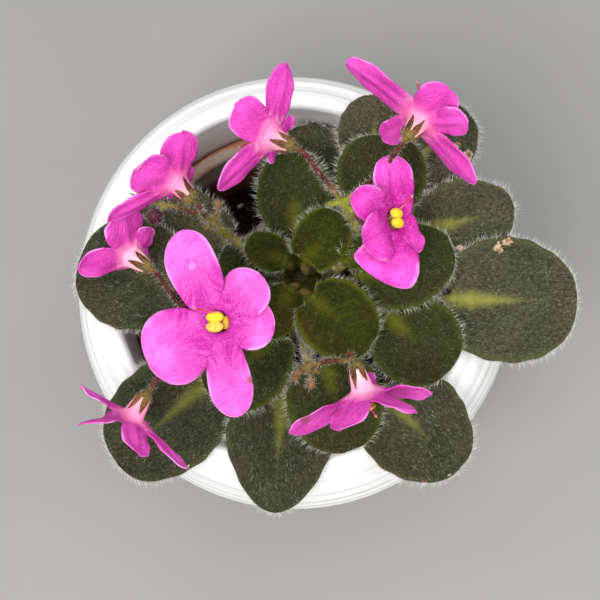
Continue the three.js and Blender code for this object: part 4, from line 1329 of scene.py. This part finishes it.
MM = 0.001
TUBE_LENGTH = 5 * MM
TUBE_RADIUS = 1.5 * MM
THROAT_RADIUS = 2.4 * MM
TUBE_SWELL = 0.12 * MM
TUBE_ROWS = 9
LOBE_COLUMNS = 20
WEB_ROWS = 7
FREE_ROWS = 25
LOBE_BELLY = 0.58
USUAL_TILT = 9
LEAST_OPENING = math.radians(20)
# Neighbouring lobes are one sheet for this far from the throat, or this share of a short lobe.
WEB_LENGTH, WEB_SHARE = 2.6 * MM, 0.30
FURROW_DEPTH = 0.40 * MM
WAVE = 0.34 * MM
RUFFLE = 0.26 * MM
CREASE = 0.10 * MM
PETAL_THICKNESS = 0.34 * MM
EDGE_THINNING = 0.45
# A pale ring left by a drop of water, and brown bruises: middle in plan and reach.
SCAR_PLACE = (-0.0202, -0.0012, 0.0)
SCAR_RADIUS = 0.52 * MM
BRUISES = [((0.0049, -0.0350, 0.0), 0.0021), ((-0.0068, -0.0268, 0.0), 0.0013)]
FRINGE_HAIRS = 230
FRINGE_LENGTHS = (0.3 * MM, 0.6 * MM)
FINE_HAIR_RADIUS = 0.00002

# For each lobe: place round the face, length and width in millimetres, opening
# at root and tip, and where they aren't the usual ones its tilt and belly.
LOBES = {
    1: [(72, 15.4, 8.0, 72, 86), (1, 11.8, 9.4, 65, 82), (-76, 15.6, 8.6, 74, 86),
        (118, 7, 3.4, 75, 82), (-139, 5.0, 4.0, 75, 90)],
    2: [(42, 11.2, 9.6, 66, 82), (-30, 10.4, 12.0, 60, 86), (-85, 16.7, 7.5, 70, 80),
        (118, 4.5, 4, 60, 62), (-150, 4, 5, 60, 60)],
    3: [(44, 10.2, 13.0, 62, 84, -9), (92, 6.6, 8, 80, 92, -9), (-44, 12, 8.5, 66, 74),
        (-114, 11.5, 7.5, 30, 32), (168, 5.5, 7, 60, 66)],
    4: [(113, 20.8, 12.4, 80, 92), (-152, 16.8, 17.3, 80, 92), (-80, 19.8, 9.8, 80, 92, 9, 0.64),
        (43, 12.4, 12.4, 75, 98), (-5, 11.0, 11.6, 72, 104)],
    5: [(-78, 19.4, 8.8, 84, 92), (18, 9.6, 9.8, 66, 85, -9), (62, 9.6, 9.6, 72, 85, -9),
        (115, 18.5, 7.5, 85, 94, -9), (-152, 12.4, 7.6, 75, 90)],
    6: [(-72, 13.1, 11.2, 70, 80, 18), (-16, 13.6, 8.2, 70, 100, 24, 0.5), (36, 10.5, 12, 62, 128),
        (112, 7.8, 7.4, 72, 80, -14), (71, 12.8, 15.0, 86, 124, -38, 0.80)],
    7: [(87, 18.2, 10.5, 66, 80, -42), (46, 10.5, 12.5, 55, 66, -9), (-46, 13.4, 8.5, 64, 70, 22),
        (-80, 14.2, 8.5, 66, 72, 40), (-150, 4.5, 4.5, 105, 125)],
    8: [(92, 13, 6, 76, 88, -9), (38, 12.4, 10.5, 60, 68, -34), (-42, 10, 9, 60, 68),
        (-90, 16, 6.5, 74, 82), (180, 6.5, 7, 60, 62)],
}
# How much paler each bloom is: partly faded by the sun and partly painted light on the blooms that face the
# lamps.
FADED_AND_LIT = {4: 1.0, 6: 0.1, 7: 0.35, 8: 0.4, 5: 0.1}
STEPS_TO_TIP = np.sin(np.radians(np.linspace(0, 88, FREE_ROWS)))


def outline_share(along, belly):
    """A lobe's width along its length: narrow at the root, widest past the middle, round at the tip."""
    rising = 0.36 + 0.64 * np.sin(np.pi / 2 * np.minimum(along / belly, 1)) ** 0.75
    falling = np.sqrt(1 - np.clip((along - belly) / (1 - belly), 0, 1) ** 2.3)
    return np.where(along < belly, rising, falling)


def lobe_points(lobe, rim, random):
    """The rows of one lobe, from its row on the throat's rim to its tip; X is the upper side, Z the axis."""
    place, length, width, root, end, tilt, belly = lobe + (USUAL_TILT, LOBE_BELLY)[len(lobe) - 5 :]
    length, width = length * MM, width * MM
    place, tilt = math.radians(place), math.radians(tilt)
    web = min(WEB_LENGTH, WEB_SHARE * length) / length
    rows = np.concatenate([np.linspace(0, web, WEB_ROWS, endpoint=False), web + (1 - web) * STEPS_TO_TIP])
    outward = np.array([math.cos(place), math.sin(place), 0])
    across = np.array([-math.sin(place), math.cos(place), 0])
    up = np.array([0, 0, 1.0])
    steps = np.diff(rows, prepend=0)
    middle = rows - steps / 2
    opening = np.radians(root + (end - root) * middle)
    flare = smooth_share(middle * length, -0.0004, 0.0022)
    opening = (LEAST_OPENING + (opening - LEAST_OPENING) * flare)[:, None]
    way = outward * np.sin(opening) + up * np.cos(opening)
    normal = -outward * np.cos(opening) + up * np.sin(opening)
    tilt = tilt * smooth_share(rows, 0.0, 0.45)[:, None]
    tilted = across * np.cos(tilt) - normal * np.sin(tilt)
    centre = np.cumsum(way * (steps * length)[:, None], 0)
    u = np.linspace(-1, 1, LOBE_COLUMNS + 1)
    hand = np.sign(u)
    phase = random.uniform(0, 6.28, 6)
    sway = random.uniform(-0.035, 0.035)
    along = rows[:, None]
    notches = 0.012 * np.sin(6 * along + phase[0] + hand) + 0.012 * np.sin(13 * along + phase[1] * hand)
    half = width / 2 * outline_share(along, belly) * (1 + notches)
    cup = half * (0.07 + 0.05 * np.sin(phase[2])) * u**2 * (1 - 0.5 * along)
    hollow = np.exp(-((u * half / 0.0010) ** 2)) * np.sin(np.pi * np.clip(along, 0, 0.95)) ** 0.7
    wave = WAVE * np.sin(along * 7 + phase[3] + 2.2 * u) * along
    ruffle = RUFFLE * np.sin(along * 17 * hand + phase[4] + 3 * u) * np.abs(u) ** 3 * along
    creases = CREASE * np.sin(u * 9 + phase[5] + 3 * along) * np.sin(np.pi * along)
    lift = cup - FURROW_DEPTH * hollow + wave + ruffle + creases
    side = half * u + sway * length * along**2
    plane = rim[len(rim) // 2] + centre[:, None] + tilted[:, None] * side[..., None]
    plane = plane + normal[:, None] * lift[..., None]
    joined = rim[None] + centre[:, None]
    share = smooth_share(along, 0.0, 0.24)[..., None]
    return joined * (1 - share) + plane * share, rows


def webbed(lobes):
    """Joins neighbouring lobes along their edges near the root, so that the flare is one sheet."""
    u = np.linspace(-1, 1, LOBE_COLUMNS + 1)
    shared = []
    for i, (points, _) in enumerate(lobes):
        following = lobes[(i + 1) % len(lobes)][0]
        shared.append((points[:, -1] + following[:, 0]) / 2)
    joined = []
    for i, (points, rows) in enumerate(lobes):
        hold = (1 - smooth_share(rows, rows[WEB_ROWS - 1], rows[WEB_ROWS] + 0.16))[:, None, None]
        to_low = (shared[i - 1] - points[:, 0])[:, None] * (np.clip(-u, 0, 1) ** 1.6)[None, :, None]
        to_high = (shared[i] - points[:, -1])[:, None] * (np.clip(u, 0, 1) ** 1.6)[None, :, None]
        joined.append(points + (to_low + to_high) * hold)
    return joined


def petal_material():
    """Magenta petal skin: deeper at its root, grained and freckled with painted glints on fine cells, pale
    edge, pink back and cream tube.
    """
    material, tree, shader = new_material(
        "petal", roughness=0.55, Specular_IOR_Level=0.12, Subsurface_Weight=0.10, Subsurface_Scale=0.5
    )
    shader.inputs["Subsurface Radius"].default_value = (0.002, 0.0006, 0.0014)
    along, across, tube, faded, back, face, number = (
        fact(tree, "petal_" + name) for name in ("along", "across", "tube", "faded", "back", "face", "number")
    )
    grain_place = add_node(tree, "ShaderNodeCombineXYZ", {0: times(tree, across, 5.0), 1: along, 2: number})
    grain = {"Vector": grain_place.outputs[0], "Scale": 2.4, "Detail": 4.0}
    streak = stretch(tree, add_node(tree, "ShaderNodeTexNoise", grain).outputs["Fac"], 0.35, 0.68)
    clouds = mottle(tree, 150.0, 0.34, 0.66, 4.0)
    magenta = mixed(tree, clouds["Mask"], (0.53, 0.017, 0.32, 1), (0.74, 0.068, 0.49, 1))
    # Painted light, partly sun-fading too: a paler magenta for the blooms that face the lamps.
    faded_lit_magenta = mixed(tree, clouds["Mask"], (0.69, 0.070, 0.425, 1), (0.83, 0.155, 0.59, 1))
    lobe = mixed(tree, faded, magenta, faded_lit_magenta)
    deep = mixed(tree, faded, (0.40, 0.005, 0.21, 1), (0.40, 0.009, 0.25, 1))
    veined = times(tree, stretch(tree, along, 0.84, 0.22), stretch(tree, streak, 0.0, 1.0, 1.0, 0.62))
    lobe = mixed(tree, veined, lobe, deep)
    freckles = mottle(tree, 1100.0, 0.50, 0.72, 4.0)
    lobe = mixed(tree, times(tree, freckles["Mask"], 0.34), lobe, deep)
    cells = mottle(tree, 2300.0, 0.45, 0.72, 2.0)
    # Painted glints: the high spots of a fine cell pattern lifted towards pale pink, as sparkle on the petal
    # cells.
    lobe = mixed(tree, times(tree, cells["Mask"], 0.18), lobe, (0.94, 0.34, 0.82, 1))
    edge = stretch(tree, calculate(tree, "ABSOLUTE", across), 0.86, 1.0)
    edge = times(tree, edge, stretch(tree, clouds["Height"], 0.35, 0.65, 0.15, 0.65))
    lobe = mixed(tree, edge, lobe, (0.95, 0.45, 0.86, 1))
    lobe = mixed(tree, times(tree, back, 0.18), lobe, (0.82, 0.13, 0.54, 1))
    blush = times(tree, stretch(tree, along, 0.30, 0.0), times(tree, back, 0.95))
    pink = mixed(tree, streak, (0.78, 0.12, 0.34, 1), (0.90, 0.42, 0.55, 1))
    lobe = mixed(tree, blush, lobe, pink)
    cream = mixed(tree, streak, (0.78, 0.24, 0.30, 1), (0.92, 0.58, 0.52, 1))
    inside = mixed(tree, streak, (0.56, 0.36, 0.17, 1), (0.74, 0.60, 0.34, 1))
    tube_skin = mixed(tree, face, mixed(tree, stretch(tree, tube, 0.15, 0.85), pink, cream), inside)
    skin = mixed(tree, stretch(tree, tube, -0.02, 0.22), lobe, tube_skin)
    level = vector_math(tree, "MULTIPLY", position(tree), (1, 1, 0))
    ragged = minus(tree, times(tree, clouds["Height"], 0.004), 0.002)
    for bruise, size in BRUISES:
        gap = plus(tree, vector_math(tree, "DISTANCE", level, bruise, "Value"), ragged)
        skin = mixed(tree, stretch(tree, gap, size, size * 0.35, 0.0, 0.75), skin, (0.26, 0.070, 0.055, 1))
    to_scar = vector_math(tree, "DISTANCE", level, SCAR_PLACE, "Value")
    off_ring = calculate(tree, "ABSOLUTE", minus(tree, to_scar, SCAR_RADIUS))
    scar = stretch(tree, off_ring, 0.20 * MM, 0.06 * MM, 0.0, 0.5)
    paint(tree, shader, mixed(tree, scar, skin, (0.94, 0.62, 0.90, 1)))
    tree.links.new(stretch(tree, cells["Height"], 0.35, 0.7, 0.62, 0.40), shader.inputs["Roughness"])
    bumped(tree, shader, plus(tree, cells["Height"], times(tree, streak, 0.7)), 0.00022, 0.7)
    return material


PETAL = petal_material()
PETAL_FRINGE = hair_material("petal_fringe", (0.80, 0.50, 0.70, 1), (0.70, 0.36, 0.58, 1))


def corolla_sheet(number, random):
    """One bloom as a sheet of quads, in its own frame, with the facts its colours need."""
    lobes = sorted(LOBES[number])
    places = [lobe[0] for lobe in lobes]
    notches = [math.radians((a + b) / 2) for a, b in zip([places[-1] - 360] + places[:-1], places)]
    notches.append(notches[0] + 2 * math.pi)
    ring = np.concatenate(
        [np.linspace(a, b, LOBE_COLUMNS, endpoint=False) for a, b in zip(notches[:-1], notches[1:])]
    )
    around = len(ring)
    share = np.linspace(0, 1, TUBE_ROWS)[:, None]
    radius = TUBE_RADIUS + (THROAT_RADIUS - TUBE_RADIUS) * share**1.4 + TUBE_SWELL * np.sin(np.pi * share)
    radius = radius * (1 + 0.03 * np.cos(5 * (ring - notches[0])))
    height = np.repeat(share * TUBE_LENGTH, around, 1)
    tube = np.stack([radius * np.cos(ring), radius * np.sin(ring), height], -1)
    points = [tube.reshape(-1, 3)]
    flat = np.zeros_like(height)
    facts = [np.stack([flat, flat, 1 - np.repeat(share, around, 1)], -1).reshape(-1, 3)]
    quads = []
    rim_start = (TUBE_ROWS - 1) * around
    for low in range(0, rim_start, around):
        for i in range(around):
            k = (i + 1) % around
            quads.append((low + k, low + i, low + around + i, low + around + k))
    rims = [
        [rim_start + (i * LOBE_COLUMNS + c) % around for c in range(LOBE_COLUMNS + 1)]
        for i in range(len(lobes))
    ]
    shaped = [lobe_points(lobe, points[0][rim], random) for lobe, rim in zip(lobes, rims)]
    columns = LOBE_COLUMNS + 1
    total = TUBE_ROWS * around
    numbered = []
    for (_, rows), lobe in zip(shaped, webbed(shaped)):
        grid = np.arange(total, total + (len(lobe) - 1) * columns).reshape(-1, columns)
        total += grid.size
        numbered.append(grid)
        points.append(lobe[1:].reshape(-1, 3))
        along = np.repeat(rows[1:, None], columns, 1)
        across = np.repeat(np.linspace(-1, 1, columns)[None], len(along), 0)
        across = across * smooth_share(np.arange(len(along)), WEB_ROWS - 3, WEB_ROWS + 6)[:, None]
        facts.append(np.stack([along, across, -along], -1).reshape(-1, 3))
    low_edges = [grid[: WEB_ROWS - 1, 0].copy() for grid in numbered]
    for i, (grid, previous) in enumerate(zip(numbered, rims)):
        grid[: WEB_ROWS - 1, -1] = low_edges[(i + 1) % len(numbered)]
        for current in grid.tolist():
            for c in range(LOBE_COLUMNS):
                quads.append((previous[c + 1], previous[c], current[c], current[c + 1]))
            previous = current
    return np.vstack(points), np.array(quads), np.vstack(facts)


def sheet_normals(points, quads):
    a, b, c, d = (points[quads[:, k]] for k in range(4))
    face = np.cross(c - a, d - b)
    normals = np.zeros_like(points)
    for k in range(4):
        np.add.at(normals, quads[:, k], face)
    return unit(normals)


def free_edges(quads):
    """Edges of a sheet that only one quad uses, in that quad's direction."""
    seen = set()
    for quad in quads.tolist():
        for a, b in zip(quad, quad[1:] + quad[:1]):
            if (b, a) in seen:
                seen.remove((b, a))
            else:
                seen.add((a, b))
    return np.array(sorted(seen))


def build_corolla(number, seed):
    random = np.random.default_rng(seed)
    foot, axis, upper, side = FLOWERS[number]
    points, quads, facts = corolla_sheet(number, random)
    used, renumbered = np.unique(quads, return_inverse=True)
    points, facts, quads = points[used], facts[used], renumbered.reshape(quads.shape)
    points = foot + points @ np.array([upper, side, axis])
    normals = sheet_normals(points, quads)
    edges = free_edges(quads)
    thin = np.ones(len(points))
    thin[edges.ravel()] = EDGE_THINNING
    offset = normals * (thin * PETAL_THICKNESS / 2)[:, None]
    count = len(points)
    faces = np.vstack([quads, quads[:, ::-1] + count]).tolist()
    faces += [[b, a, count + a, count + b] for a, b in edges.tolist()]
    bloom = Shape().put(np.vstack([points + offset, points - offset]), faces)
    lobe_edges = edges[facts[edges[:, 0], 0] > 0.3]
    first, second = lobe_edges[random.integers(0, len(lobe_edges), FRINGE_HAIRS)].T
    slide = random.uniform(size=(FRINGE_HAIRS, 1))
    roots = points[first] * (1 - slide) + points[second] * slide
    outward = unit(np.cross(points[second] - points[first], normals[first]))
    ways = outward + random.normal(0, 0.4, roots.shape)
    bloom.put(*hairs(roots, ways, random.uniform(*FRINGE_LENGTHS, FRINGE_HAIRS), FINE_HAIR_RADIUS), 1)
    along, across, tube = np.vstack([facts, facts]).T
    face_side = np.repeat([1.0, 0.0], count)
    facts = {
        "petal_along": along,
        "petal_across": across,
        "petal_tube": tube,
        "petal_face": face_side,
        "petal_back": 1 - face_side,
        "petal_number": np.full(2 * count, 3.7 * number),
        "petal_faded": np.full(2 * count, FADED_AND_LIT.get(number, 0.0)),
    }
    piece(f"bloom_{number}", bloom, [PETAL, PETAL_FRINGE], [f"flower_{number}_corolla"], facts)


for number in FLOWERS:
    build_corolla(number, 500 + number)


# ---- Stamens and pistils ----------------------------------------------------
# In the throat stand two fat yellow anthers, dusted with pollen and joined face
# to face, and one slender pink-red style that leans out past them.


SACS_ABOVE = 0.0066
SAC_SWELL = 1.18
SAC_FLATTER = 0.22
SAC_FURROW = 0.00022
ANTHER_LEAN = {4: -0.0014}
ANTHER_REACH = {7: 0.0029}
# Painted shade: how much one anther sac of a flower is dulled to brown.
SHADED_SAC = {4: 0.8}
# Swollen filament feet that show beside the anthers: distance from the axis, height and half sizes.
FILAMENT_BASES = {4: (0.00115, 0.0046, (0.0010, 0.0016, 0.0012))}
OVARY_RADIUS = 0.00075
OVARY_HEIGHT, OVARY_HALF = 0.0009, 0.0010
STYLE_BENDS_AT = 0.0055
STYLE_RADIUS = 0.00034
STYLE_THINNING = 0.00012
KNOB_SWELL = 0.00017
STYLE_ASIDE = {4: (0.0, 0.0019, 0.0), 6: (-0.0006, 0.0014, 0.0)}
STYLE_STEPS = 22
STYLE_SIDES = 14
# Where the knobbed tip of each style ends up.
STYLE_TIPS = {
    1: (-0.0104, 0.0270, 0.1280),
    2: (-0.0332, 0.0225, 0.1270),
    3: (-0.0428, 0.0013, 0.1128),
    4: (-0.0195, -0.0111, 0.1357),
    5: (0.0311, 0.0418, 0.1310),
    6: (0.0300, 0.0151, 0.1300),
    7: (0.0215, -0.0353, 0.1210),
    8: (-0.0343, -0.0408, 0.1142),
}


def pollen_material():
    """Yellow pollen dust, khaki on the filaments and as painted shade low on each sac, and dull brown painted
    as shade on one sac.
    """
    material, tree, shader = new_material("pollen", roughness=0.75, Specular_IOR_Level=0.15)
    dust = mottle(tree, 1800.0, 0.35, 0.65, 2.0)
    fresh = mixed(tree, dust["Mask"], (0.94, 0.47, 0.003, 1), (0.98, 0.68, 0.03, 1))
    # Painted shade: the dull brown laid on the shaded sac; the filament feet are marked for it too.
    dull_brown = mixed(tree, dust["Mask"], (0.62, 0.32, 0.05, 1), (0.80, 0.54, 0.14, 1))
    sac = mixed(tree, fact(tree, "sac_old"), fresh, dull_brown)
    # Khaki on the filaments below the sacs, and as painted shade over the lower part of each sac.
    khaki_and_base_shade = stretch(tree, fact(tree, "sac_height"), 7.9, 6.6)
    paint(tree, shader, mixed(tree, khaki_and_base_shade, sac, (0.60, 0.36, 0.05, 1)))
    bumped(tree, shader, dust["Height"], 0.0002, 0.7)
    return material


def style_material():
    """Pink-red skin that darkens towards the tip and is paler again on the knob."""
    material, tree, shader = new_material("style", roughness=0.5, Specular_IOR_Level=0.2)
    tone = mottle(tree, 420.0, 0.35, 0.65)
    pink = mixed(tree, tone["Mask"], (0.56, 0.07, 0.16, 1), (0.74, 0.22, 0.28, 1))
    reach = fact(tree, "style_reach")
    darkened = mixed(tree, stretch(tree, reach, 0.5, 0.9), pink, (0.40, 0.03, 0.07, 1))
    paint(tree, shader, mixed(tree, stretch(tree, reach, 0.93, 0.97), darkened, (0.58, 0.20, 0.26, 1)))
    bumped(tree, shader, tone["Height"], 0.0001, 0.4)
    return material


POLLEN = pollen_material()
STYLE = style_material()


def soft_copy(node):
    return reshaped(node, "SUBSURF", levels=2, render_levels=2)


def build_anthers(number):
    """Two pollen sacs, plump enough to touch, with a furrow along each."""
    points, faces = soft_copy(f"flower_{number}_stamens")
    foot, axis, upper, side = FLOWERS[number]
    height, left = (points - foot) @ axis, (points - foot) @ side
    for hand in (-1, 1):
        sac = (left * hand > 0) & (height > SACS_ABOVE)
        middle = points[sac].mean(0)
        offset = points[sac] - middle
        swollen = offset * SAC_SWELL
        swollen = middle + swollen + upper * (swollen @ upper * SAC_FLATTER)[:, None]
        furrow = np.exp(-(((offset @ side) / 0.0004) ** 2)) * (offset @ axis > 0)
        points[sac] = swollen - axis * (furrow * SAC_FURROW)[:, None]
    lean = smooth_share(height, 0.003, 0.0068)[:, None]
    points = points + (upper * ANTHER_LEAN.get(number, 0.0) + axis * ANTHER_REACH.get(number, 0.0)) * lean
    anthers = Shape().put(points, faces)
    if number in FILAMENT_BASES:
        away, along, size = FILAMENT_BASES[number]
        pad, pad_faces = ball(3)
        pad = pad * size @ np.array([upper, side, axis])
        anthers.put(foot + upper * away + axis * along + pad, pad_faces)
        height, left = (anthers.points() - foot) @ axis, (anthers.points() - foot) @ side
    # Painted shade on one sac; the filament feet are marked for the same brown.
    shade_and_pad = smooth_share(-left, 0.0, 0.0004) * SHADED_SAC.get(number, 0.0)
    shade_and_pad[len(points) :] = 1.0
    facts = {"sac_height": height * 1000, "sac_old": shade_and_pad}
    piece(f"anthers_{number}", anthers, [POLLEN], [f"flower_{number}_stamens"], facts)


def build_style(number):
    """The round ovary inside the calyx and the thin style that bends out of the throat to its knobbed tip."""
    foot, axis, _, _ = FLOWERS[number]
    tip = np.array(STYLE_TIPS[number])
    throat = foot + axis * STYLE_BENDS_AT + STYLE_ASIDE.get(number, (0, 0, 0))
    bend = throat + axis * np.linalg.norm(tip - throat) * 0.35
    t = np.linspace(0, 1, STYLE_STEPS)[:, None]
    start = foot + axis * 0.0004
    rise = start + (throat - start) * t
    curve = (1 - t) ** 2 * throat + 2 * t * (1 - t) * bend + t**2 * tip
    spine = np.vstack([rise[:-1], curve])
    forward = unit(np.gradient(spine, axis=0))
    first = unit(np.cross(forward, np.array([0.36, 0.48, 0.80])))
    second = np.cross(forward, first)
    reach = np.concatenate([[0], np.cumsum(np.linalg.norm(np.diff(spine, axis=0), axis=1))])
    ovary = OVARY_RADIUS * np.sqrt(np.clip(1 - ((reach - OVARY_HEIGHT) / OVARY_HALF) ** 2, 0, 1))
    shaft = STYLE_RADIUS - STYLE_THINNING * reach / reach[-1]
    knob = KNOB_SWELL * np.exp(-(((reach[-1] - 0.0003 - reach) / 0.00032) ** 2))
    round_end = np.sqrt(np.clip((reach[-1] - reach) / 0.0003, 0, 1))
    radius = np.maximum(ovary, (shaft + knob) * np.maximum(round_end, 0.2))
    cosine, sine = round_turn(STYLE_SIDES)
    ring = first[:, None] * cosine + second[:, None] * sine
    points = (spine[:, None] + ring * radius[:, None, None]).reshape(-1, 3)
    ends = [spine[0] - forward[0] * 0.0001, spine[-1] + forward[-1] * 0.00005]
    faces = grid_faces(len(spine), STYLE_SIDES, len(points), len(points) + 1)
    style = Shape().put(np.vstack([points, ends]), faces)
    facts = {"style_reach": np.concatenate([np.repeat(reach / reach[-1], STYLE_SIDES), [0, 1]])}
    piece(f"style_{number}", style, [STYLE], [f"flower_{number}_pistil"], facts)


for number in FLOWERS:
    build_anthers(number)
    build_style(number)


# ---- Closed bud -------------------------------------------------------------
# A round flower bud, still shut inside five dark red hairy sepals.


BUD_HAIRS = 240
BUD_HAIR_LENGTHS = (0.0006, 0.0014)
SEAM_DEPTH = 0.08
BUD_SKIN = two_toned(
    "bud_skin",
    (300.0, 0.35, 0.65, 4.0),
    (0.060, 0.005, 0.018, 1),
    (0.13, 0.012, 0.034, 1),
    relief=(0.0003, 0.6),
    Specular_IOR_Level=0.3,
)

bud_random = np.random.default_rng(900)
bud_points, bud_faces = soft_copy("closed_bud")
bud_centre = bud_points.mean(0)
offset = bud_points - bud_centre
ridge = np.abs(np.sin(np.arctan2(offset[:, 1], offset[:, 0]) * 2.5)) ** 0.6
bud_points = bud_centre + offset * (1 - SEAM_DEPTH + SEAM_DEPTH * ridge)[:, None]
bud = Shape().put(bud_points, bud_faces)
roots, normals, _ = scattered(bud_points, triangulated(bud_faces), BUD_HAIRS, bud_random)
ways = normals + bud_random.normal(0, 0.3, roots.shape)
bud.put(*hairs(roots, ways, bud_random.uniform(*BUD_HAIR_LENGTHS, BUD_HAIRS), FINE_HAIR_RADIUS), 1)
piece("bud", bud, [BUD_SKIN, STALK_HAIR], ["closed_bud"])
